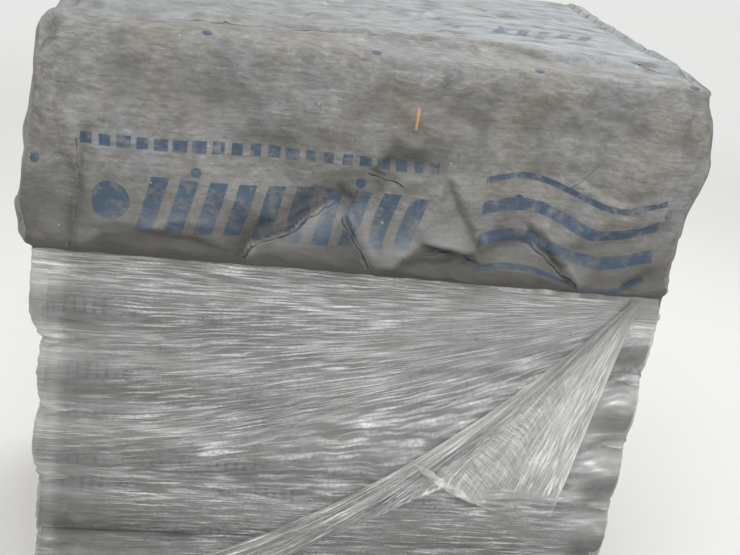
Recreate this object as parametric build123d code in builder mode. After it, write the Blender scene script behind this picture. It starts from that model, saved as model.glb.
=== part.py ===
"""Pallet load of synthetic roofing underlayment rolls, film wrapped under a hood of the same cloth.

Frame: origin at the centre of the pallet's underside, +Z up, +X along the rolls, and the front of
the load faces -Y. All lengths are in millimetres.
"""

import os

from build123d import *

# Rolls: a 48 in web, 250 ft long, wound on a 3 in core
roll_length = 1219.0
roll_diameter = 154.4
core_bore_diameter = 76.2
rolls_deep = 6
layers = 8
roll_gap = 0.6

# Pallet: as long as the rolls and 40 in wide, with notched stringers
deck_margin = 43.3
board_thickness = 18.0
lead_board_width = 140.0
inner_board_width = 89.0
inner_deck_boards = 5
middle_base_boards = 3
middle_base_spacing = 150.0
stringer_height = 89.0
stringer_width = 38.0
stringers = 3
notch_length = 229.0
notch_height = 38.0
notch_from_end = 152.0
notch_radius = 13.0

# Gap left between any two pieces that rest on each other
seat_gap = 0.3

# Stretch film: a tube round the wrapped layers, drawn in between one roll and the next
film_thickness = 1.2
film_draw_in = 12.0
film_layers = 5
film_rise = 43.0
# How far the film puffs out past the roll ends, from the bottom layer to the top one
film_left_puffs = (3.0, 3.0, 16.0, 12.0, 32.0)
film_right_puffs = (4.0, 2.0, 2.0, 5.0, 4.0)

# Hood: a sheet of the underlayment itself, tucked under the top of the film
hood_thickness = 1.5
hood_tuck = 70.0
hood_loft = 30.0
hood_corner_cut = 20.0
hem_corner_cut = 4.0
hem_left = 32.0
# How far each wall stands off the rolls at its lip, just above the film, and at its fullest
lip_rise = 30.0
lip_front = 32.0
lip_back = 27.0
lip_left = 63.0
lip_right = 6.0
belly_rise = 87.0
belly_front = 38.0
belly_back = 31.0
belly_left = 73.0
belly_right = 8.0
# The same near the top, and how the walls turn over into it
brow_drop = 60.0
brow_front = 14.0
brow_back = 12.0
brow_left = 45.0
brow_right = 14.0
shoulder_drop = 28.0
shoulder_inset = 10.0
edge_drop = 13.0
edge_inset = 30.0
top_inset = 66.0

# Loose end of the film, pulled from the top right corner down to the lower left
tail_thickness = 2.0
tail_root_width = 22.0
tail_root_inset = 44.0
tail_root_drop = 20.0
tail_hem_inset = 134.0
tail_hem_drop = 534.0
tail_hem_width = 161.0
tail_hem_rise = 18.0
tail_bend_inset = 542.0
tail_bend_drop = 481.0
tail_foot_inset = 1067.0
tail_foot_width = 598.0

# What follows from the sizes above
roll_pitch = roll_diameter + roll_gap
half_length = roll_length / 2
half_depth = (rolls_deep * roll_pitch - roll_gap) / 2
pallet_length = roll_length
pallet_width = 2 * (half_depth + deck_margin)
deck_top = 2 * board_thickness + stringer_height
stack_base = deck_top + seat_gap
stack_top = stack_base + layers * roll_pitch - roll_gap
film_base = deck_top - board_thickness
film_top = stack_base + film_layers * roll_pitch + film_rise
hem_clear = seat_gap + hood_thickness
film_skin = hem_clear + seat_gap
film_face = half_depth + film_skin + film_thickness
hem_base = film_top - hood_tuck
hood_top = stack_top + hood_loft

os.makedirs("parts", exist_ok=True)


def save(piece, label):
    """Labels a finished piece and writes it to its own STEP file."""
    piece.part.label = label
    export_step(piece.part, f"parts/{label}.step")


# Rolls
with BuildPart() as roll:
    with BuildSketch(Plane.XZ):
        with Locations((0, (core_bore_diameter + roll_diameter) / 4)):
            Rectangle(roll_length, (roll_diameter - core_bore_diameter) / 2)
    revolve(axis=Axis.X)

# The film shows every roll of its layers, and under the hood only the outer ones give it its form,
# so the hidden middle there is one plain core
for layer in range(layers):
    roll_height = stack_base + roll_diameter / 2 + layer * roll_pitch
    outer_reach = (rolls_deep - 1) / 2 * roll_pitch
    with BuildPart() as roll_layer:
        with Locations((0, 0, roll_height)):
            if layer < film_layers:
                with GridLocations(0, roll_pitch, 1, rolls_deep):
                    add(roll.part)
            else:
                with GridLocations(0, 2 * outer_reach, 1, 2):
                    add(roll.part)
    save(roll_layer, f"roll_layer_{layer + 1}")

core_depth = (rolls_deep - 2) * roll_pitch - roll_gap
with BuildPart() as roll_core:
    with BuildSketch(Plane.XY.offset(stack_base + film_layers * roll_pitch)):
        Rectangle(roll_length, core_depth)
    extrude(amount=(layers - film_layers) * roll_pitch - roll_gap)
save(roll_core, "roll_core")


# Pallet
def board(width, position, base, label):
    """One board laid across the stringers, centred at position along the pallet."""
    with BuildPart() as plank:
        with BuildSketch(Plane.XY.offset(base)):
            with Locations((position, 0)):
                Rectangle(width, pallet_width)
        extrude(amount=board_thickness)
    save(plank, label)


lead_position = (pallet_length - lead_board_width) / 2
deck_space = pallet_length - 2 * lead_board_width - inner_deck_boards * inner_board_width
deck_gap = deck_space / (inner_deck_boards + 1)
deck_pitch = inner_board_width + deck_gap
deck_base = deck_top - board_thickness

board(lead_board_width, -lead_position, deck_base, "deck_board_1")
for number in range(inner_deck_boards):
    place = (number - (inner_deck_boards - 1) / 2) * deck_pitch
    board(inner_board_width, place, deck_base, f"deck_board_{number + 2}")
board(lead_board_width, lead_position, deck_base, f"deck_board_{inner_deck_boards + 2}")

board(lead_board_width, -lead_position, 0, "base_board_1")
for number in range(middle_base_boards):
    place = (number - (middle_base_boards - 1) / 2) * middle_base_spacing
    board(inner_board_width, place, 0, f"base_board_{number + 2}")
board(lead_board_width, lead_position, 0, f"base_board_{middle_base_boards + 2}")

stringer_spacing = (pallet_width - stringer_width) / (stringers - 1)
notch_position = pallet_length / 2 - notch_from_end - notch_length / 2
for number in range(stringers):
    across = (number - (stringers - 1) / 2) * stringer_spacing
    with BuildPart() as stringer:
        with BuildSketch(Plane.XZ.offset(-across)):
            with Locations((0, board_thickness + stringer_height / 2)):
                Rectangle(pallet_length, stringer_height)
        extrude(amount=stringer_width / 2, both=True)
        with BuildSketch(Plane.XZ.offset(-across)) as notch:
            with Locations(
                (-notch_position, board_thickness),
                (notch_position, board_thickness),
            ):
                Rectangle(notch_length, 2 * notch_height)
            fillet(notch.vertices().group_by(Axis.Z)[-1], notch_radius)
        extrude(amount=stringer_width / 2, both=True, mode=Mode.SUBTRACT)
    save(stringer, f"stringer_{number + 1}")


# Stretch film
def film_profile(skin, deck_skin, run_past):
    """The film seen along the rolls: skin clear of them, and deck_skin clear of the deck."""
    face = half_depth + skin
    deck_face = pallet_width / 2 + deck_skin
    first_middle = stack_base + roll_diameter / 2
    last_middle = first_middle + (film_layers - 1) * roll_pitch
    with BuildLine() as outline:
        Polyline(
            (0, film_base - run_past),
            (deck_face, film_base - run_past),
            (deck_face, deck_top + deck_skin),
            (face, first_middle),
        )
        for gap in range(film_layers - 1):
            low = first_middle + gap * roll_pitch
            pinch = (face - film_draw_in, low + roll_pitch / 2)
            TangentArc((face, low), pinch, tangent=(0, 1))
            TangentArc((face, low + roll_pitch), pinch, tangent=(0, -1))
        Polyline((face, last_middle), (face, film_top + run_past), (0, film_top + run_past))
        mirror(about=Plane.YZ)
    return make_face(outline.edges(), mode=Mode.PRIVATE)


def film_elevation(skin, run_past):
    """The film seen from the front: skin clear of the roll ends, and puffed out over each roll."""
    end = half_length + skin
    top_left = (-end - hem_left + hem_clear, film_top + run_past)
    with BuildLine() as outline:
        Polyline((-end, stack_base), (-end, film_base - run_past), (end, film_base - run_past), (end, stack_base))
        for layer in range(film_layers):
            low = stack_base + layer * roll_pitch
            middle = low + roll_diameter / 2
            high = low + roll_pitch
            ThreePointArc((end, low), (end + film_right_puffs[layer], middle), (end, high))
            if layer < film_layers - 1:
                ThreePointArc((-end, low), (-end - film_left_puffs[layer], middle), (-end, high))
        top_low = stack_base + (film_layers - 1) * roll_pitch
        Line((-end, top_low), (-end - film_left_puffs[-1], top_low + roll_diameter / 2))
        Line((-end - film_left_puffs[-1], top_low + roll_diameter / 2), top_left)
        Polyline((end, stack_base + film_layers * roll_pitch), (end, film_top + run_past), top_left)
    return make_face(outline.edges(), mode=Mode.PRIVATE)


def film_form(skin, deck_skin, run_past):
    """What the profile and the elevation have in common, each carried right through the load."""
    with BuildPart() as form:
        with BuildSketch(Plane.YZ):
            add(film_profile(skin, deck_skin, run_past))
        extrude(amount=roll_length, both=True)
        with BuildSketch(Plane.XZ):
            add(film_elevation(skin, run_past))
        extrude(amount=pallet_width, both=True, mode=Mode.INTERSECT)
    return form.part


with BuildPart() as stretch_film:
    add(film_form(film_skin + film_thickness, seat_gap + film_thickness, 0))
    add(film_form(film_skin, seat_gap, film_thickness), mode=Mode.SUBTRACT)
save(stretch_film, "stretch_film")


# Hood
def hood_section(height, stand_offs, cut, wall):
    """A level section of the hood, given by how far its front, back, left and right stand off."""
    front, back, left, right = stand_offs
    width = roll_length + left + right - 2 * wall
    depth = 2 * half_depth + front + back - 2 * wall
    with BuildSketch(Plane.XY.offset(height)) as section:
        with Locations(((right - left) / 2, (back - front) / 2)):
            Rectangle(width, depth)
        chamfer(section.vertices(), cut)
    return section.sketch.face()


def hood_form(wall):
    """Lofts the hood's outer form, or its inner one when wall is the sheet's thickness."""
    hem = (hem_clear, hem_clear, hem_left, hem_clear)
    lip = (lip_front, lip_back, lip_left, lip_right)
    belly = (belly_front, belly_back, belly_left, belly_right)
    brow = (brow_front, brow_back, brow_left, brow_right)
    shoulder = [stand_off - shoulder_inset for stand_off in brow]
    edge = [stand_off - edge_inset for stand_off in brow]
    top = [stand_off - top_inset for stand_off in brow]
    # The inner form lies lower where the walls turn into the top, higher where they flare out over
    # the film, and runs out past the hem, so that the sheet is open below and nowhere thinner
    levels = [
        (hem_base - wall, hem, hem_corner_cut),
        (film_top + hem_clear + wall, hem, hem_corner_cut),
        (film_top + lip_rise + wall, lip, hood_corner_cut),
        (film_top + belly_rise, belly, hood_corner_cut),
        (hood_top - brow_drop, brow, hood_corner_cut),
        (hood_top - shoulder_drop - wall, shoulder, hood_corner_cut),
        (hood_top - edge_drop - wall, edge, hood_corner_cut),
        (hood_top - wall, top, hood_corner_cut),
    ]
    sections = [hood_section(height, stand_offs, cut, wall) for height, stand_offs, cut in levels]
    return loft(sections, ruled=True, mode=Mode.PRIVATE)


with BuildPart() as hood:
    add(hood_form(0))
    add(hood_form(hood_thickness), mode=Mode.SUBTRACT)
save(hood, "hood_sheet")


# Loose end of the film
tail_foot = stack_base + roll_diameter / 2
root = Vector(half_length - tail_root_inset, film_top - tail_root_drop)
root_left = root - Vector(tail_root_width, 0)
bend = Vector(half_length - tail_bend_inset, film_top - tail_bend_drop)
foot_left = Vector(half_length - tail_foot_inset, tail_foot)
foot_right = foot_left + Vector(tail_foot_width, 0)
hem_corner = Vector(half_length - tail_hem_inset, film_top - tail_hem_drop)
hem_start = hem_corner + Vector(-tail_hem_width, tail_hem_rise)

with BuildPart() as film_tail:
    with BuildSketch(Plane.XZ.offset(film_face + seat_gap)):
        with BuildLine():
            ThreePointArc(root_left, bend, foot_left)
            Polyline(foot_left, foot_right, hem_start, hem_corner, root, root_left)
        make_face()
    extrude(amount=tail_thickness)
save(film_tail, "film_tail")
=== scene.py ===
"""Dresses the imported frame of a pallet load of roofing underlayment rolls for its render.

The load stands on a notched pallet. Eight layers of rolls lie full length on it. Stretch film binds
the lower five, and its loose end hangs across the front. The upper three are under a hood cut from
the same woven cloth, whose hem is tucked inside the film. All lengths are in metres.
"""

from __future__ import annotations

import logging
import math
from collections.abc import Sequence
from dataclasses import dataclass, field
from enum import Enum, IntEnum

import bpy
import numpy as np
from mathutils import Matrix, Vector

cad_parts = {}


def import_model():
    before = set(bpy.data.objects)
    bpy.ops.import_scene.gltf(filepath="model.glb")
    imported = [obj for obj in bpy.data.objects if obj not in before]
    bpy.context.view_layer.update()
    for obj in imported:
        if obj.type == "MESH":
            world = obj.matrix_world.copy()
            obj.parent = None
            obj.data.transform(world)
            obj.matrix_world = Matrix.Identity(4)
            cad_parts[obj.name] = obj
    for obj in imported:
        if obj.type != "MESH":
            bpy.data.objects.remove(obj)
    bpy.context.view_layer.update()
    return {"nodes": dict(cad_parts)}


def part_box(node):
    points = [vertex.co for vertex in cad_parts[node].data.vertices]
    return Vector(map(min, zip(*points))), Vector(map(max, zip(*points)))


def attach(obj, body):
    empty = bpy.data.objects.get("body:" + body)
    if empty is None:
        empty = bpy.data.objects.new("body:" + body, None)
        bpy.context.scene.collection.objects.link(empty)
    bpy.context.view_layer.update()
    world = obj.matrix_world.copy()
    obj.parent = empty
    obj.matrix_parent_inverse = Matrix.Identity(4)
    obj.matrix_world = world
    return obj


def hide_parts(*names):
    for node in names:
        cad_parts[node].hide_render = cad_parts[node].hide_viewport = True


LOG = logging.getLogger("underlayment_load")
Array = np.ndarray
Colour = tuple[float, float, float]
Point = tuple[float, float]
Node = bpy.types.Node
Socket = bpy.types.NodeSocket
Material = bpy.types.Material
Mesh = bpy.types.Mesh
Piece = bpy.types.Object


@dataclass(frozen=True)
class Load:
    """The sizes that the load's pieces share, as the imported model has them."""

    roll_length: float = 1.219
    roll_diameter: float = 0.1544
    roll_gap: float = 0.0006
    bore_diameter: float = 0.0762
    rolls_deep: int = 6
    layers: int = 8
    film_layers: int = 5
    deck_margin: float = 0.0433
    deck_top: float = 0.125
    board_thickness: float = 0.018
    seat_gap: float = 0.0003
    film_rise: float = 0.043
    hood_loft: float = 0.03

    @property
    def pitch(self) -> float:
        """How far one roll's axis is from the next one's."""
        return self.roll_diameter + self.roll_gap

    @property
    def half_length(self) -> float:
        """Half of the rolls' length."""
        return self.roll_length / 2

    @property
    def half_depth(self) -> float:
        """Half of the stack's depth, front to back."""
        return (self.rolls_deep * self.pitch - self.roll_gap) / 2

    @property
    def stack_base(self) -> float:
        """The height of the lowest rolls' undersides."""
        return self.deck_top + self.seat_gap

    @property
    def film_top(self) -> float:
        """The height of the film's upper edge."""
        return self.stack_base + self.film_layers * self.pitch + self.film_rise

    @property
    def hood_top(self) -> float:
        """The height of the hood's top."""
        return self.stack_base + self.layers * self.pitch - self.roll_gap + self.hood_loft

    def middle(self, layer: int) -> float:
        """The height of a layer's roll axes, counted from 0 at the bottom."""
        return self.stack_base + self.roll_diameter / 2 + layer * self.pitch


LOAD = Load()


# Shapes worked out on arrays of points


@dataclass(frozen=True)
class Drift:
    """Smooth gradient noise over a plane, about -1 to 1, that repeats every 64 cells."""

    seed: int
    cells: int = 64

    def __call__(self, x: Array, y: Array) -> Array:
        """Reads the noise.

        Args:
            x: Places along the first direction, in cells.
            y: Places along the second direction, in cells.

        Returns:
            The noise at each place.
        """
        angles = np.random.default_rng(self.seed).uniform(0, 2 * np.pi, (self.cells, self.cells))
        column, row = np.floor(x).astype(int), np.floor(y).astype(int)
        across, along = x - column, y - row
        rise = []
        for right, up in ((0, 0), (1, 0), (0, 1), (1, 1)):
            angle = angles[(column + right) % self.cells, (row + up) % self.cells]
            rise.append(np.cos(angle) * (across - right) + np.sin(angle) * (along - up))
        ease_x, ease_y = fade(across), fade(along)
        low = rise[0] * (1 - ease_x) + rise[1] * ease_x
        high = rise[2] * (1 - ease_x) + rise[3] * ease_x
        return 1.5 * (low * (1 - ease_y) + high * ease_y)


def fade(t: Array) -> Array:
    """A smooth step from 0 to 1 as t goes from 0 to 1."""
    t = np.clip(t, 0, 1)
    return t * t * t * (t * (6 * t - 15) + 10)


def ease(low: float, high: float, value: Array) -> Array:
    """A smooth step from 0 to 1 as value goes from low to high, which may be the lower number."""
    return fade((value - low) / (high - low))


def along_curve(knots: Array, t: Array) -> Array:
    """Reads a Catmull-Rom curve.

    Args:
        knots: The curve's points, one a row, evenly spaced in t.
        t: Places from 0, the first knot, to 1, the last.

    Returns:
        The curve's point at each place.
    """
    knots = np.asarray(knots, dtype=float)
    padded = np.vstack([2 * knots[0] - knots[1], knots, 2 * knots[-1] - knots[-2]])
    place = np.clip(t, 0, 1) * (len(knots) - 1)
    span = np.minimum(place.astype(int), len(knots) - 2)
    s = (place - span)[:, None]
    a, b, c, d = (padded[span + k] for k in range(4))
    return b + 0.5 * s * (c - a + s * (2 * a - 5 * b + 4 * c - d + s * (3 * (b - c) + d - a)))


class Turn(Enum):
    """What a crease does to the cloth beside it."""

    DENT = "dent"
    STEP = "step"


@dataclass(frozen=True)
class Crease:
    """A crease that runs through two or more points of a wall.

    Args:
        path: Its points, in the wall's two directions.
        height: How far its line stands out, or in where negative.
        width: How far to each side the cloth takes to lie flat again.
        turn: Whether both sides dip alike, or the left side of the path stands over the right one.
    """

    path: tuple[Point, ...]
    height: float
    width: float
    turn: Turn = Turn.DENT

    def lift(self, x: Array, y: Array) -> Array:
        """How far the crease lifts the cloth at each place.

        Args:
            x: Places along the wall's first direction.
            y: Places along its second.

        Returns:
            The lift at each place.
        """
        nearest = np.full(x.shape, 1e9)
        side = np.zeros(x.shape)
        taper = np.zeros(x.shape)
        lengths = [math.dist(a, b) for a, b in zip(self.path, self.path[1:])]
        run = 0.0
        for (x0, y0), (x1, y1), length in zip(self.path, self.path[1:], lengths):
            along = ((x - x0) * (x1 - x0) + (y - y0) * (y1 - y0)) / length**2
            held = np.clip(along, 0, 1)
            gap = np.hypot(x - x0 - held * (x1 - x0), y - y0 - held * (y1 - y0))
            closer = gap < nearest
            nearest = np.where(closer, gap, nearest)
            cross = (x1 - x0) * (y - y0) - (y1 - y0) * (x - x0)
            side = np.where(closer, cross / length, side)
            taper = np.where(closer, (run + held * length) / sum(lengths), taper)
            run += length
        ends = ease(0, 0.22, taper) * ease(1, 0.78, taper) * 0.85 + 0.15
        shape = np.exp(-nearest / self.width)
        if self.turn is Turn.STEP:
            shape = shape * np.tanh(side / (0.16 * self.width))
        return self.height * ends * shape


def crumple(seed: int, count: int, low: Point, high: Point, length: Point, height: Point) -> list[Crease]:
    """Random creases over a wall.

    Args:
        seed: Seed of the draw.
        count: How many there are.
        low: The wall's lowest corner.
        high: Its highest corner.
        length: The shortest and the longest crease.
        height: The least and the most that one stands out or in.

    Returns:
        The creases.
    """
    draw = np.random.default_rng(seed)
    creases = []
    for _ in range(count):
        x, y = draw.uniform(low[0], high[0]), draw.uniform(low[1], high[1])
        angle, reach = draw.uniform(0, 2 * np.pi), draw.uniform(*length)
        bend = draw.uniform(-0.5, 0.5)
        middle = (x + reach / 2 * math.cos(angle), y + reach / 2 * math.sin(angle))
        angle += bend
        end = (middle[0] + reach / 2 * math.cos(angle), middle[1] + reach / 2 * math.sin(angle))
        lift = draw.uniform(*height) * draw.choice((-1, -1, 1))
        turn = Turn.STEP if draw.uniform() < 0.35 else Turn.DENT
        creases.append(Crease(((x, y), middle, end), lift, reach * draw.uniform(0.08, 0.18), turn))
    return creases


def strips(rows: int, columns: int, closed: bool) -> Array:
    """Quads between neighbouring rows of points.

    Args:
        rows: How many rows there are.
        columns: How many points each row has.
        closed: Whether each row's last point joins its first.

    Returns:
        The quads' point numbers, one quad a row.
    """
    row = np.arange(rows - 1)[:, None] * columns
    column = np.arange(columns if closed else columns - 1)[None, :]
    beside = (column + 1) % columns
    near, far = row + column, row + beside
    return np.stack([near, far, far + columns, near + columns], -1).reshape(-1, 4)


def make_piece(
    name: str, points: Array, faces: Array, uv: Array | None = None, smooth: bool = True
) -> Piece:
    """Makes a mesh object at the origin.

    Args:
        name: The piece's name.
        points: Its points.
        faces: Its faces' point numbers.
        uv: Its texture coordinates, one pair for each face corner in order, or one for each point.
        smooth: Whether its faces are shaded smooth.

    Returns:
        The object, linked to the scene.
    """
    mesh = bpy.data.meshes.new(name)
    mesh.from_pydata(points.tolist(), [], faces.tolist())
    if uv is not None:
        corners = uv if len(uv) == faces.size else uv[faces.reshape(-1)]
        mesh.uv_layers.new(name="UVMap").data.foreach_set("uv", corners.reshape(-1).astype(np.float32))
    mesh.polygons.foreach_set("use_smooth", np.full(len(mesh.polygons), smooth))
    mesh.update()
    piece = bpy.data.objects.new(name, mesh)
    bpy.context.scene.collection.objects.link(piece)
    return piece


def paint(piece: Piece, **painted: Array) -> None:
    """Gives each point of a piece the numbers that its material reads by name.

    Args:
        piece: The piece.
        painted: The numbers, under their names.
    """
    for name, values in painted.items():
        layer = piece.data.attributes.new(name, "FLOAT", "POINT")
        layer.data.foreach_set("value", np.asarray(values, dtype=np.float32).reshape(-1))


def read(items: bpy.types.bpy_prop_collection, name: str) -> Array:
    """Reads a mesh's vectors of one kind.

    Args:
        items: The mesh's points or normals.
        name: What is read of each.

    Returns:
        The vectors, one a row.
    """
    values = np.empty(len(items) * 3)
    items.foreach_get(name, values)
    return values.reshape(-1, 3)


def point_normals(points: Array, faces: Array) -> Array:
    """Works out area-weighted normals.

    Args:
        points: The points of a mesh of quads.
        faces: Its faces' point numbers.

    Returns:
        The normal at each point.
    """
    across = points[faces[:, 2]] - points[faces[:, 0]]
    other = points[faces[:, 3]] - points[faces[:, 1]]
    normal = np.cross(across, other)
    total = np.zeros_like(points)
    for corner in range(4):
        np.add.at(total, faces[:, corner], normal)
    return total / np.maximum(np.linalg.norm(total, axis=1, keepdims=True), 1e-12)


# Shader maths


class Field:
    """A number that varies over a surface, as a node's output that takes part in arithmetic."""

    def __init__(self, graph: Graph, socket: Socket) -> None:
        """Wraps a socket of the graph."""
        self.graph = graph
        self.socket = socket

    def _math(self, operation: str, first: Field | float, *rest: Field | float) -> Field:
        """The outcome of a Math node."""
        node = self.graph.node("ShaderNodeMath", {"operation": operation}, dict(enumerate((first, *rest))))
        return Field(self.graph, node.outputs[0])

    def __add__(self, other: Field | float) -> Field:
        """The two together."""
        return self._math("ADD", self, other)

    __radd__ = __add__

    def __sub__(self, other: Field | float) -> Field:
        """It, less the other."""
        return self._math("SUBTRACT", self, other)

    def __rsub__(self, other: Field | float) -> Field:
        """The other, less it."""
        return self._math("SUBTRACT", other, self)

    def __mul__(self, other: Field | float) -> Field:
        """It times the other."""
        return self._math("MULTIPLY", self, other)

    __rmul__ = __mul__

    def __truediv__(self, other: Field | float) -> Field:
        """It over the other."""
        return self._math("DIVIDE", self, other)

    def __pow__(self, other: float) -> Field:
        """It to a power."""
        return self._math("POWER", self, other)

    @classmethod
    def of(cls, graph: Graph, number: float) -> Field:
        """A number that is the same everywhere, to start a maximum from.

        Args:
            graph: The nodes it belongs to.
            number: The number.

        Returns:
            The field.
        """
        value = graph.node("ShaderNodeValue")
        value.outputs[0].default_value = number
        return cls(graph, value.outputs[0])

    def sine(self) -> Field:
        """Its sine."""
        return self._math("SINE", self)

    def size(self) -> Field:
        """Its absolute value."""
        return self._math("ABSOLUTE", self)

    def whole(self) -> Field:
        """It, rounded down."""
        return self._math("FLOOR", self)

    def rest(self) -> Field:
        """What is left of it above its whole number."""
        return self._math("FRACT", self)

    def root(self) -> Field:
        """Its square root."""
        return self._math("SQRT", self)

    def most(self, other: Field | float) -> Field:
        """The larger of the two."""
        return self._math("MAXIMUM", self, other)

    def least(self, other: Field | float) -> Field:
        """The smaller of the two."""
        return self._math("MINIMUM", self, other)

    def off(self, pitch: float) -> Field:
        """How far it is from the middle of its cell, in a row of cells of that pitch."""
        return ((self / pitch).rest() - 0.5) * pitch

    def step(self, low: float, high: float) -> Field:
        """Steps smoothly from 0 to 1.

        Args:
            low: Where the step is 0.
            high: Where it is 1, which may be the lower number.

        Returns:
            The step.
        """
        flip = low > high
        settings = {"interpolation_type": "SMOOTHSTEP"}
        ends = {"Value": self, "From Min": min(low, high), "From Max": max(low, high)}
        ends |= {"To Min": float(flip), "To Max": float(not flip)}
        return Field(self.graph, self.graph.node("ShaderNodeMapRange", settings, ends).outputs[0])


class NodeTree:
    """A tree of nodes while it is being built."""

    def __init__(self, tree: bpy.types.NodeTree) -> None:
        """Takes the tree that the nodes go into."""
        self.tree = tree

    def node(
        self,
        kind: str,
        settings: dict[str, object] | None = None,
        inputs: dict[str | int, object] | None = None,
    ) -> Node:
        """Adds a node.

        Args:
            kind: The node's type.
            settings: Its properties, which are set first.
            inputs: Values, fields or sockets for its sockets, by name or number.

        Returns:
            The node.
        """
        node = self.tree.nodes.new(kind)
        for name, value in (settings or {}).items():
            setattr(node, name, value)
        for name, value in (inputs or {}).items():
            source = value.socket if isinstance(value, Field) else value
            if isinstance(source, Socket):
                self.tree.links.new(source, node.inputs[name])
            else:
                node.inputs[name].default_value = source
        return node


class Graph(NodeTree):
    """A material's or a sky's nodes."""

    def __init__(self, owner: Material | bpy.types.World) -> None:
        """Starts an empty tree.

        Args:
            owner: The material or sky.
        """
        owner.use_nodes = True
        super().__init__(owner.node_tree)
        self.owner = owner
        self.tree.nodes.clear()

    @classmethod
    def of_material(cls, name: str) -> Graph:
        """Starts a new material's tree."""
        return cls(bpy.data.materials.new(name))

    def surface_uv(self) -> tuple[Field, Field]:
        """The two coordinates of the piece's own UV map, in metres."""
        return self.split(self.node("ShaderNodeUVMap", {"uv_map": "UVMap"}).outputs[0])[:2]

    def place(self) -> tuple[Field, Field, Field]:
        """The point's own place in the load's frame."""
        return self.split(self.node("ShaderNodeTexCoord").outputs["Object"])

    def painted(self, name: str) -> Field:
        """The number of that name at each point of the piece, or nought where it has none."""
        node = self.node("ShaderNodeAttribute", {"attribute_name": name})
        return Field(self, node.outputs["Fac"])

    def split(self, vector: Socket) -> tuple[Field, Field, Field]:
        """A vector's three numbers."""
        parts = self.node("ShaderNodeSeparateXYZ", None, {0: vector}).outputs
        return Field(self, parts[0]), Field(self, parts[1]), Field(self, parts[2])

    def join(self, x: Field | float, y: Field | float, z: Field | float = 0.0) -> Socket:
        """A vector of three numbers."""
        return self.node("ShaderNodeCombineXYZ", None, {0: x, 1: y, 2: z}).outputs[0]

    def noise(self, vector: Socket, scale: float, detail: float = 3.0, rough: float = 0.55) -> Field:
        """Cloudy noise, 0 to 1 and mostly near the middle."""
        inputs = {"Vector": vector, "Scale": scale, "Detail": detail, "Roughness": rough}
        return Field(self, self.node("ShaderNodeTexNoise", None, inputs).outputs[0])

    def scatter(self, vector: Socket, scale: float) -> Field:
        """The distance to the nearest of a scatter of points, in cells."""
        inputs = {"Vector": vector, "Scale": scale}
        return Field(self, self.node("ShaderNodeTexVoronoi", {"voronoi_dimensions": "2D"}, inputs).outputs[0])

    def path_gap(self, place: Socket, path: Sequence[Point]) -> Field:
        """How far each place is from a path of straight runs.

        Args:
            place: The place, on a plane.
            path: The path's points.

        Returns:
            The distance to the path.
        """
        nearest: Field | None = None
        for start, stop in zip(path, path[1:]):
            run = Vector((stop[0] - start[0], stop[1] - start[1], 0))
            off = self.vector("SUBTRACT", place, (*start, 0)).outputs[0]
            along = Field(self, self.vector("DOT_PRODUCT", off, run / run.length_squared).outputs["Value"])
            inputs = {0: run, "Scale": along.most(0).least(1)}
            spot = self.node("ShaderNodeVectorMath", {"operation": "SCALE"}, inputs)
            gap = Field(self, self.vector("DISTANCE", off, spot.outputs[0]).outputs["Value"])
            nearest = gap if nearest is None else nearest.least(gap)
        return nearest

    def vector(self, operation: str, first: object, second: object) -> Node:
        """A node that works on two vectors."""
        return self.node("ShaderNodeVectorMath", {"operation": operation}, {0: first, 1: second})

    def chance(self, vector: Socket) -> Field:
        """A random number from 0 to 1 for each different vector."""
        node = self.node("ShaderNodeTexWhiteNoise", {"noise_dimensions": "2D"}, {"Vector": vector})
        return Field(self, node.outputs[0])

    def blend(self, share: Field | float, first: Colour | Socket, second: Colour | Socket) -> Socket:
        """Mixes two colours.

        Args:
            share: How much of the second there is, 0 to 1.
            first: The first colour.
            second: The second colour.

        Returns:
            The mixed colour.
        """
        ends = [c if isinstance(c, Socket) else (*c, 1.0) for c in (first, second)]
        inputs = {0: share, 6: ends[0], 7: ends[1]}
        return self.node("ShaderNodeMix", {"data_type": "RGBA"}, inputs).outputs[2]


    def coats(self, colour: Socket, *coats: tuple[Field, Colour]) -> Socket:
        """Lays coats over a colour, one after the other.

        Args:
            colour: The colour underneath.
            coats: How much of each coat shows, and its colour.

        Returns:
            The colour on top.
        """
        for share, tint in coats:
            colour = self.blend(share, colour, tint)
        return colour

    def bump(self, height: Field, strength: float, distance: float) -> Socket:
        """A normal that follows a height."""
        inputs = {"Height": height, "Strength": strength, "Distance": distance}
        return self.node("ShaderNodeBump", None, inputs).outputs[0]

    def finish(self, **inputs: object) -> Material:
        """Ends the material in one shader.

        Args:
            inputs: The shader's inputs, their names with underscores for spaces.

        Returns:
            The material.
        """
        named = {name.replace("_", " "): value for name, value in inputs.items()}
        shader = self.node("ShaderNodeBsdfPrincipled", None, named)
        self.node("ShaderNodeOutputMaterial", None, {"Surface": shader.outputs[0]})
        return self.owner


# Finishes


class Design(Enum):
    """The plain blue designs that the cloth is printed with."""

    BANNER = "banner"
    LINES = "lines"


@dataclass(frozen=True)
class Fold:
    """A sharp fold in the cloth, as a painted line of shade beside a painted lit edge.

    Args:
        path: Its points, in metres of cloth.
        width: How far to each side it is dark.
    """

    path: tuple[Point, ...]
    width: float


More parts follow.
